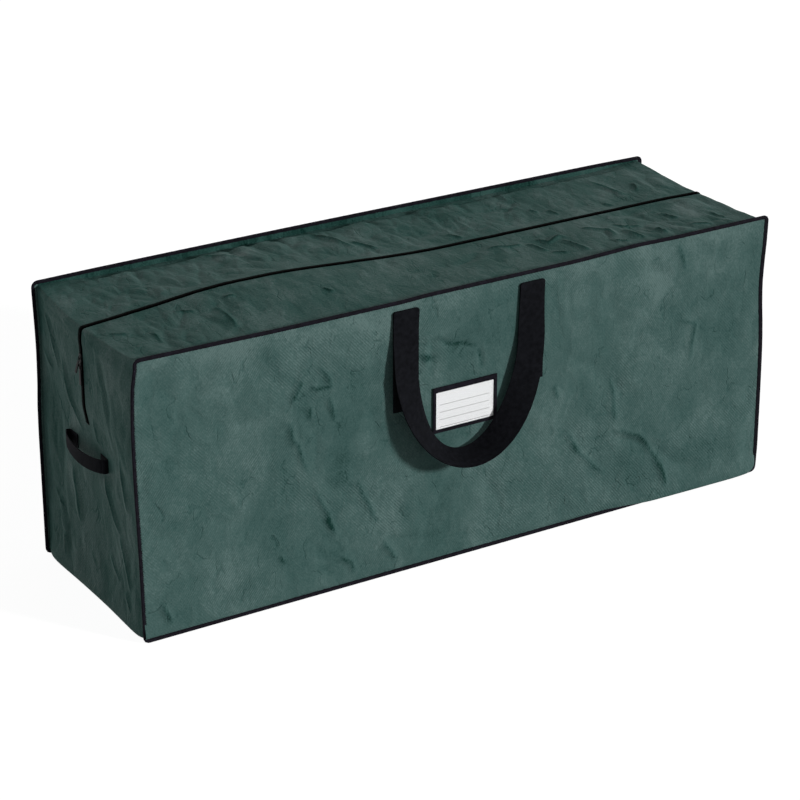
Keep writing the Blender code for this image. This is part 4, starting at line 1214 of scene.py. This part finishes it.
# A shape in a row is turned towards a point this much further along
AHEAD = 0.0005
for name, side in SIDES:
    us = evenly(0, EDGE_LENGTH, STITCH_PITCH)[:-1]
    spots = []
    for u in (us, us + AHEAD):
        x, z, ox, oz = along_edge(u)
        x, z = x - ox * STITCH_DEEP, z - oz * STITCH_DEEP
        dx, dz = edge_waves(x, side * PANEL_Y, z)
        spots.append(stacked(x + dx, side * (PANEL_Y + STITCH_OUT), z + dz))
    outs = stacked(0 * us, side + 0 * us, 0 * us)
    bm = row_of(bevelled_block(STITCH_SIZE, STITCH_CORNER), spots[0], spots[1] - spots[0], outs)
    stitches = make_piece(name + "_edge_stitches", bm, [thread_finish], sharp=math.radians(89))
    set_on(stitches, "bag", "edge_tape")

# %% [markdown]
# ## The zip
#
# The zip is sewn under the edges of its slot. Two woven tapes show as narrow lines beside two rows of
# nylon coil, whose turns reach past each other. Each row belongs to its own side.

# %% Zip tapes and coils
TAPE_INNER = 0.0008
TAPE_OUTER = 0.0120
TAPE_THICK = 0.0006
TAPE_LIFT = -0.0008
TAPE_BELOW = 0.012
COIL_PITCH = 0.0016
# A turn's size along the zip, across it and outwards; nylon this fine is drawn a little thicker
COIL_SIZE = (0.00078, 0.0040, 0.0026)
COIL_CORNER = 0.00022
COIL_OFF = 0.00140
COIL_LIFT = 0.0008
COIL_AHEAD = 0.0004
COIL_SHARP = math.radians(30)
zip_low = height_to_path(ZIP_BOTTOM + 0.0036)


def coil_row(place, levels, side, swap):
    """Return a row of coil turns along a placing; swap tells which argument runs along the zip."""
    levels = np.asarray(levels) + (COIL_PITCH / 2 if side > 0 else 0)

    def at(u, y):
        y = y + 0 * u
        return place(u, y) if swap else place(y, u)

    spots = at(levels, side * COIL_OFF)
    alongs = at(levels + COIL_AHEAD, side * COIL_OFF) - spots
    across = at(levels, side * COIL_OFF + COIL_AHEAD) - spots
    outs = np.cross(alongs, across)
    outs = outs if swap else -outs
    return row_of(bevelled_block(COIL_SIZE, COIL_CORNER), spots, alongs, outs)


for name, side in SIDES:
    ys = sorted([side * TAPE_INNER, side * 0.003, side * 0.007, side * TAPE_OUTER])
    for end_name, end in HANDS:
        node = "%s_%s_zip" % (end_name, name)
        us = evenly(zip_low - TAPE_BELOW, PATH_MARKS[5], 0.004)
        bm = lay(ys, us, on_end(end, TAPE_LIFT))
        tape = make_piece(node + "_strip", bm, [zip_tape_finish], TAPE_THICK)
        set_on(tape, "bag", "zip_tape", node + "_tape")
        levels = np.arange(zip_low, PATH_MARKS[5], COIL_PITCH)
        bm = coil_row(on_end(end, COIL_LIFT), levels, side, False)
        coil = make_piece(node + "_coil", bm, [coil_finish], sharp=COIL_SHARP)
        set_on(coil, "bag", "zip_teeth", node + "_teeth")
    node = "top_%s_zip" % name
    for hand_name, hand in HANDS:
        bm = lay(sorted(hand * evenly(0, TOP_EDGE, 0.006)), ys, on_top(TAPE_LIFT))
        tape = make_piece("%s_strip_%s" % (node, hand_name), bm, [zip_tape_finish], TAPE_THICK)
        bend_with_flap(tape, node + "_tape")
        levels = sorted(hand * np.arange(COIL_PITCH / 4, TOP_EDGE, COIL_PITCH))
        bm = coil_row(on_top(COIL_LIFT), levels, side, True)
        coil = make_piece("%s_coil_%s" % (node, hand_name), bm, [coil_finish], sharp=COIL_SHARP)
        bend_with_flap(coil, node + "_teeth")

# %% [markdown]
# ## Sliders, pulls and stops
#
# Two sliders are parked nose to nose on the left end. Each has two plates that grip the coils, side
# flanges, and a bridge from which a flat pull hangs. Plates start from a cube: its nose is scaled in,
# and its edges are bevelled.

# %% Sliders, pulls and stops
SLIDERS_MEET = 0.437
SLIDER_LENGTH = 0.0136
SLIDERS_APART = 0.0004
OUTER_X = -(END_X + END_SWELL)
UNDER_PLATE = 0.0011
PLATE = 0.0016
PLATE_WIDE = 0.0095
LOWER_PLATE = -0.0024
PLATE_CORNER = 0.0005
NOSE_SHARE = 0.78
BRIDGE_RADIUS = 0.00062
BRIDGE_REACH = 0.0032
BRIDGE_SINK = 0.0004
SMALL_CORNER = 0.0002
METAL_SHARP = math.radians(35)


def facing_left(z, out):
    """Return the placing of a shape drawn flat, with its y upwards and its z outwards."""
    turn = Matrix(((0, 0, -1, 0), (-1, 0, 0, 0), (0, 1, 0, 0), (0, 0, 0, 1)))
    return Matrix.Translation((OUTER_X - out, 0, z)) @ turn


def add_block(bm, size, centre, corner, taper=None, segments=2):
    """Add a bevelled block; taper scales the width of its upper or lower end."""
    matrix = Matrix.Translation(centre) @ Matrix.Diagonal((*size, 1))
    verts = bmesh.ops.create_cube(bm, size=1, matrix=matrix)["verts"]
    if taper:
        end, share = taper
        for vert in verts:
            if (vert.co.y - centre[1]) * end > 0:
                vert.co.x = centre[0] + (vert.co.x - centre[0]) * share
    edges = list({edge for vert in verts for edge in vert.link_edges})
    bmesh.ops.bevel(bm, geom=edges, offset=corner, segments=segments, profile=0.5, affect="EDGES",
                    material=-1)


def slider_shape(z, nose):
    """Return a slider's bmesh: two plates, a post, two flanges and the bridge for the pull."""
    bm = bmesh.new()
    for middle in (UNDER_PLATE + PLATE / 2, LOWER_PLATE - PLATE / 2):
        add_block(bm, (PLATE_WIDE, SLIDER_LENGTH, PLATE), (0, 0, middle), PLATE_CORNER,
                  (nose, NOSE_SHARE))
    # The post between the plates, then the flanges beside the coils
    add_block(bm, (0.0010, 0.0040, 0.0045), (0, -nose * 0.003, -0.0006), SMALL_CORNER)
    for hand in (-1, 1):
        add_block(bm, (0.0008, SLIDER_LENGTH - 0.0030, 0.0016), (hand * 0.00345, 0, 0.0009),
                  SMALL_CORNER)
    root = UNDER_PLATE + PLATE - BRIDGE_SINK
    bridge = bmesh.ops.create_circle(
        bm, segments=10, radius=BRIDGE_RADIUS,
        matrix=Matrix.Translation((0, BRIDGE_REACH, root)))["verts"]
    ring = list({edge for vert in bridge for edge in vert.link_edges})
    bmesh.ops.spin(bm, geom=bridge + ring, cent=(0, 0, root), axis=(1, 0, 0), dvec=(0, 0, 0),
                   angle=math.pi, steps=14, use_merge=False, use_duplicate=False)
    bmesh.ops.holes_fill(bm, edges=[e for e in bm.edges if e.is_boundary], sides=0)
    bmesh.ops.recalc_face_normals(bm, faces=bm.faces)
    bm.transform(facing_left(z, 0))
    return bm


PULL_OUT = 0.0013
PULL_THICK = 0.0012
PULL_CORNER = 0.0003
PULL_HALF = 0.0028
EYE_HALF = 0.0015
EYE_LOW, EYE_HIGH = -0.0056, -0.0006


def pull_shape(length, tilt, axis):
    """Return a pull's bmesh: a flat tab, wider towards its tip, with an eye at its head."""
    xs = [-PULL_HALF, -EYE_HALF, EYE_HALF, PULL_HALF]
    ys = [-length, -length + 0.0012, -length + 0.004, -length * 0.45, EYE_LOW, EYE_HIGH, -EYE_HIGH]

    def place(u, v):
        return stacked(u * (1 + 0.25 * smooth((-v - 0.006) / (length - 0.008))), v, 0 * u)

    bm = lay(xs, ys, place, lambda u, v: not (abs(u) < EYE_HALF and EYE_LOW < v < EYE_HIGH))
    bm.transform(Matrix.Translation(axis) @ Matrix.Rotation(tilt, 4, "Y") @ facing_left(0, 0)
                 @ Matrix.Translation((0, 0, OUTER_X)))
    return bm


for name, way, length, tilt in (("upper", 1, 0.026, math.radians(17)), ("lower", -1, 0.035, 0.0)):
    z = SLIDERS_MEET + way * (SLIDER_LENGTH + SLIDERS_APART) / 2
    bm = slider_shape(z, -way)
    slider = make_piece(name + "_slider_body", bm, [slider_finish], sharp=METAL_SHARP)
    set_on(slider, name + "_slider", "zip_metal", name + "_slider")
    bm = pull_shape(length, tilt, (OUTER_X - UNDER_PLATE - PLATE - PULL_OUT, 0, z))
    pull = make_piece(name + "_pull_tab", bm, [slider_finish], PULL_THICK, PULL_CORNER)
    set_on(pull, name + "_pull", "zip_metal", name + "_pull")

for name in ("left", "right"):
    low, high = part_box(name + "_zip_stop")
    bm = bmesh.new()
    add_block(bm, tuple(high - low), tuple((high + low) / 2), PLATE_CORNER)
    stop = make_piece(name + "_zip_clamp", bm, [slider_finish], sharp=METAL_SHARP)
    set_on(stop, "bag", "zip_metal", name + "_zip_stop")

# %% [markdown]
# ## The carry handles
#
# Each handle is one length of webbing. Its two ends are sewn upright to the panel as legs. At the top
# of the legs it folds forward and hangs down as a loop, whose face turns outwards towards the bend. The
# strap is laid as one sheet along its path, then thickened and rounded.

# %% Carry handles
WEBBING = 0.0018
LEG_Y = 0.0018
HANG_Y = 0.0039
LOOP_STRAIGHT = 0.084
LOOP_DROP = 0.197
LOOP_TWIST = math.radians(70)
LOOP_LEG_TWIST = math.radians(9)
LOOP_STANDS = 0.0084
LOOP_CLEARANCE = 0.0115
LOOP_SWING_SHARE = -0.075
LOOP_SWING_POWER = 1.23
STRAP_CORNER = 0.005
STRAP_ROUND = 0.0005


def loop_row(share, steps=40, legs=6, bend=28):
    """Return a hanging loop's middle point and the direction to its outer edge."""
    half = HANDLE_SPREAD / 2
    step = share * steps
    bottom = LOOP_CLEARANCE + STRAP_WIDTH / 2 * math.sin(LOOP_TWIST)
    if legs <= step <= legs + bend:
        turn = math.pi * (step - legs) / bend
        x, z = -half * math.cos(turn), -LOOP_STRAIGHT - LOOP_DROP * math.sin(turn)
        out = Vector((-math.cos(turn) / half, 0, -math.sin(turn) / LOOP_DROP)).normalized()
        y = LOOP_STANDS + (bottom - LOOP_STANDS) * math.sin(turn)
        twist = LOOP_LEG_TWIST + (LOOP_TWIST - LOOP_LEG_TWIST) * math.sin(turn) ** 2
    else:
        side = -1 if step < legs else 1
        down = (step if side < 0 else steps - step) / legs
        x, z = side * half, -LOOP_STRAIGHT * down
        out = Vector((side, 0, 0))
        y = HANG_Y + (LOOP_STANDS - HANG_Y) * down * down
        twist = LOOP_LEG_TWIST * down * down
    fallen = -z / (LOOP_STRAIGHT + LOOP_DROP)
    x += LOOP_SWING_SHARE * HANDLE_SPREAD * fallen ** LOOP_SWING_POWER
    edge = out * math.cos(twist) + Vector((0, -1, 0)) * math.sin(twist)
    return [x, -y, z, *edge]


def handle_rows():
    """Return the whole strap's middle points and edge directions, from leg to leg."""
    half = HANDLE_SPREAD / 2
    middle, radius = (LEG_Y + HANG_Y) / 2, (HANG_Y - LEG_Y) / 2
    rows = [[-half, -LEG_Y, -down, -1, 0, 0]
            for down in np.linspace(HANDLE_FOLD - LEG_BOTTOM, 0.001, 32)]
    for turn in np.linspace(0, math.pi, 9):
        rows.append([-half, -middle + radius * math.cos(turn), radius * math.sin(turn), -1, 0, 0])
    rows += [loop_row(share) for share in np.linspace(0, 1, 181)[1:-1]]
    back = [[-x, y, z, 1, 0, 0] for x, y, z, *_ in rows[:41]]
    return np.array(rows + back[::-1])


def strap_place(rows, at, matrix):
    """Return the placing of a strap by the distance along it and across it."""
    turn = np.array(matrix.to_3x3())
    shift = np.array(matrix.translation)

    def place(u, v):
        parts = [np.interp(u, at, rows[:, i]) for i in range(6)]
        middle, edge = np.stack(parts[:3], 1), np.stack(parts[3:], 1)
        edge = edge / np.linalg.norm(edge, axis=1)[:, None]
        spots = middle + edge * v[:, None]
        beyond = np.clip((np.abs(v) - STRAP_WIDTH / 2 + STRAP_CORNER) / STRAP_CORNER, 0, 1)
        drop = STRAP_CORNER * (1 - np.sqrt(1 - beyond ** 2))
        spots[:, 2] -= drop * np.exp(np.minimum(middle[:, 2], 0) / (2 * STRAP_CORNER))
        return spots @ turn.T + shift

    return place


half_across = [0.009, 0.019, 0.0215, 0.0235, 0.0246, STRAP_WIDTH / 2]
STRAP_ACROSS = [*[-v for v in half_across[::-1]], 0, *half_across]
rows = handle_rows()
at = np.concatenate([[0], np.cumsum(np.linalg.norm(np.diff(rows[:, :3], axis=0), axis=1))])
for name, side in SIDES:
    turned = Matrix.Rotation(0 if side < 0 else math.pi, 4, "Z")
    matrix = turned @ Matrix.Translation((HANDLE_SHIFT, -PANEL_Y, HANDLE_FOLD))
    bm = lay(at, STRAP_ACROSS, strap_place(rows, at, matrix))
    strap = make_piece(name + "_carry_strap", bm, [webbing_finish], WEBBING, STRAP_ROUND)
    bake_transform(strap)
    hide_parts(name + "_handle_loop", name + "_handle_left_leg", name + "_handle_right_leg")
print("a carry strap is %.2f m long" % at[-1])

# %% [markdown]
# The short strap on each end is 25 mm webbing. Its ends are folded under and sewn flat, and it bows
# out between them, so a hand fits behind it.

# %% End handles
END_STRAP_HALF = 0.0125
END_SPAN = 0.137
END_HANDLE_Y = 0.006
END_HANDLE_Z = 0.271
END_STANDS = 0.012
END_BOW = 0.0215
END_DROOP = 0.006
TAB_LENGTH = 0.024
STRAP_LIES = 0.0014


def end_strap_rows():
    """Return the strap's rows: y, its distance from the end, and the end's swell that it shares."""
    half = END_SPAN / 2
    rows = []
    for share in np.linspace(-1, 0, 9)[:-1]:
        rows.append((-half - share * TAB_LENGTH, STRAP_LIES, 1.0))
    for share in np.linspace(0, 1, 11):
        turned = (1 + math.cos(math.pi * share)) / 2
        rows.append((-half - 0.0048 * math.sin(math.pi * share),
                     STRAP_LIES * turned + END_STANDS * (1 - turned), turned))
    reach = half - 0.001
    for share in np.linspace(-1, 0, 25):
        y = reach * math.sin(math.pi / 2 * share)
        rise = math.sin(math.pi * (y + reach) / (2 * reach)) ** 0.6 if share > -1 else 0
        rows.append((y, END_STANDS + (END_BOW - END_STANDS) * rise, 0.0))
    return np.array(rows + [(-y, out, swell) for y, out, swell in rows[-2::-1]])


rows = end_strap_rows()
at = np.concatenate([[0], np.cumsum(np.hypot(np.diff(rows[:, 0]), np.diff(rows[:, 1])))])
END_ACROSS = [-END_STRAP_HALF, -0.0119, -0.006, 0, 0.006, 0.0119, END_STRAP_HALF]


def end_strap_place(end):
    """Return the placing of an end's strap by the distance along it and across it."""
    def place(u, v):
        y, out, swell = [np.interp(u, at, rows[:, i]) for i in range(3)]
        droop = END_DROOP * (1 - swell) * np.cos(math.pi * y / END_SPAN)
        y = END_HANDLE_Y + y
        z = END_HANDLE_Z + v - droop
        return stacked(end * (END_X + out + swell * end_swell(y, z)), y, z)
    return place


for name, end in HANDS:
    bm = lay(at, END_ACROSS, end_strap_place(end))
    strap = make_piece(name + "_end_grip", bm, [webbing_finish], WEBBING, STRAP_ROUND)
    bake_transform(strap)
    node = name + "_end_handle_"
    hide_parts(node + "strap", node + "front_tab", node + "back_tab")

# %% [markdown]
# ## The label pocket
#
# A clear film and a backing are bound by a black frame that is sewn to the panel on three sides. The
# card slides in from the top. Its four rules are thin printed lines, made as a second finish on the card.

# %% Label pocket
low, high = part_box("label_frame")
left, right, bottom, top = low.x, high.x, low.z, high.z
FRAME_EDGE = 0.006
FRAME_TOP_EDGE = 0.010
FRAME_RIM = 0.0012
FRAME_THICK = 0.0016
FRAME_ROUND = 0.0006
FRAME_DEEP = 0.0009
xs = [left, left + FRAME_RIM, left + FRAME_EDGE - FRAME_RIM, left + FRAME_EDGE,
      right - FRAME_EDGE, right - FRAME_EDGE + FRAME_RIM, right - FRAME_RIM, right]
zs = [bottom, bottom + FRAME_RIM, bottom + FRAME_EDGE - FRAME_RIM, bottom + FRAME_EDGE,
      top - FRAME_TOP_EDGE, top - FRAME_TOP_EDGE + FRAME_RIM, top - FRAME_RIM, top]


def frame_place(x, z):
    """Place the pocket's bound edge in its box, clear of the card."""
    return stacked(x, low.y + FRAME_DEEP, z)


def on_frame(x, z):
    """Say whether a face is the frame and not its window."""
    beside = left + FRAME_EDGE < x < right - FRAME_EDGE
    return not (beside and bottom + FRAME_EDGE < z < top - FRAME_TOP_EDGE)


bm = lay(xs, zs, frame_place, on_frame)
label_frame = make_piece("label_pocket_frame", bm, [edge_tape_finish], FRAME_THICK, FRAME_ROUND)
set_on(label_frame, "bag", "edge_tape", "label_frame")

# %% Film, backing and card
FILM_CORNER = 0.00012
RULE_LEFT, RULE_RIGHT = -0.0645, 0.036
RULE_THICK, RULE_HIGH = 0.00008, 0.0008
RULE_OUT = 0.00003
RULE_CORNER = 0.00002
RULES_Z = (0.298, 0.2843, 0.2705, 0.2567)


def flat_block(node):
    """Return a bmesh of a thin block in a CAD node's box, and the box's near corner."""
    near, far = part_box(node)
    bm = bmesh.new()
    add_block(bm, tuple(far - near), tuple((far + near) / 2), FILM_CORNER, segments=1)
    return bm, near


for node, name, finish, slot in (
        ("label_backing", "label_pocket_back", backing_finish, "edge_tape"),
        ("label_window", "label_pocket_film", film_finish, "label_window")):
    item = make_piece(name, flat_block(node)[0], [finish], sharp=METAL_SHARP)
    set_on(item, "bag", slot, node)

bm, near = flat_block("label_card")
card_faces = len(bm.faces)
for rule_z in RULES_Z:
    add_block(bm, (RULE_RIGHT - RULE_LEFT, RULE_THICK, RULE_HIGH),
              ((RULE_LEFT + RULE_RIGHT) / 2, near.y - RULE_OUT, rule_z), RULE_CORNER, segments=1)
for face in bm.faces[card_faces:]:
    face.material_index = 1
card = make_piece("ruled_card", bm, [card_finish, ink_finish], sharp=METAL_SHARP)
set_on(card, "card", "label_card", "label_card")
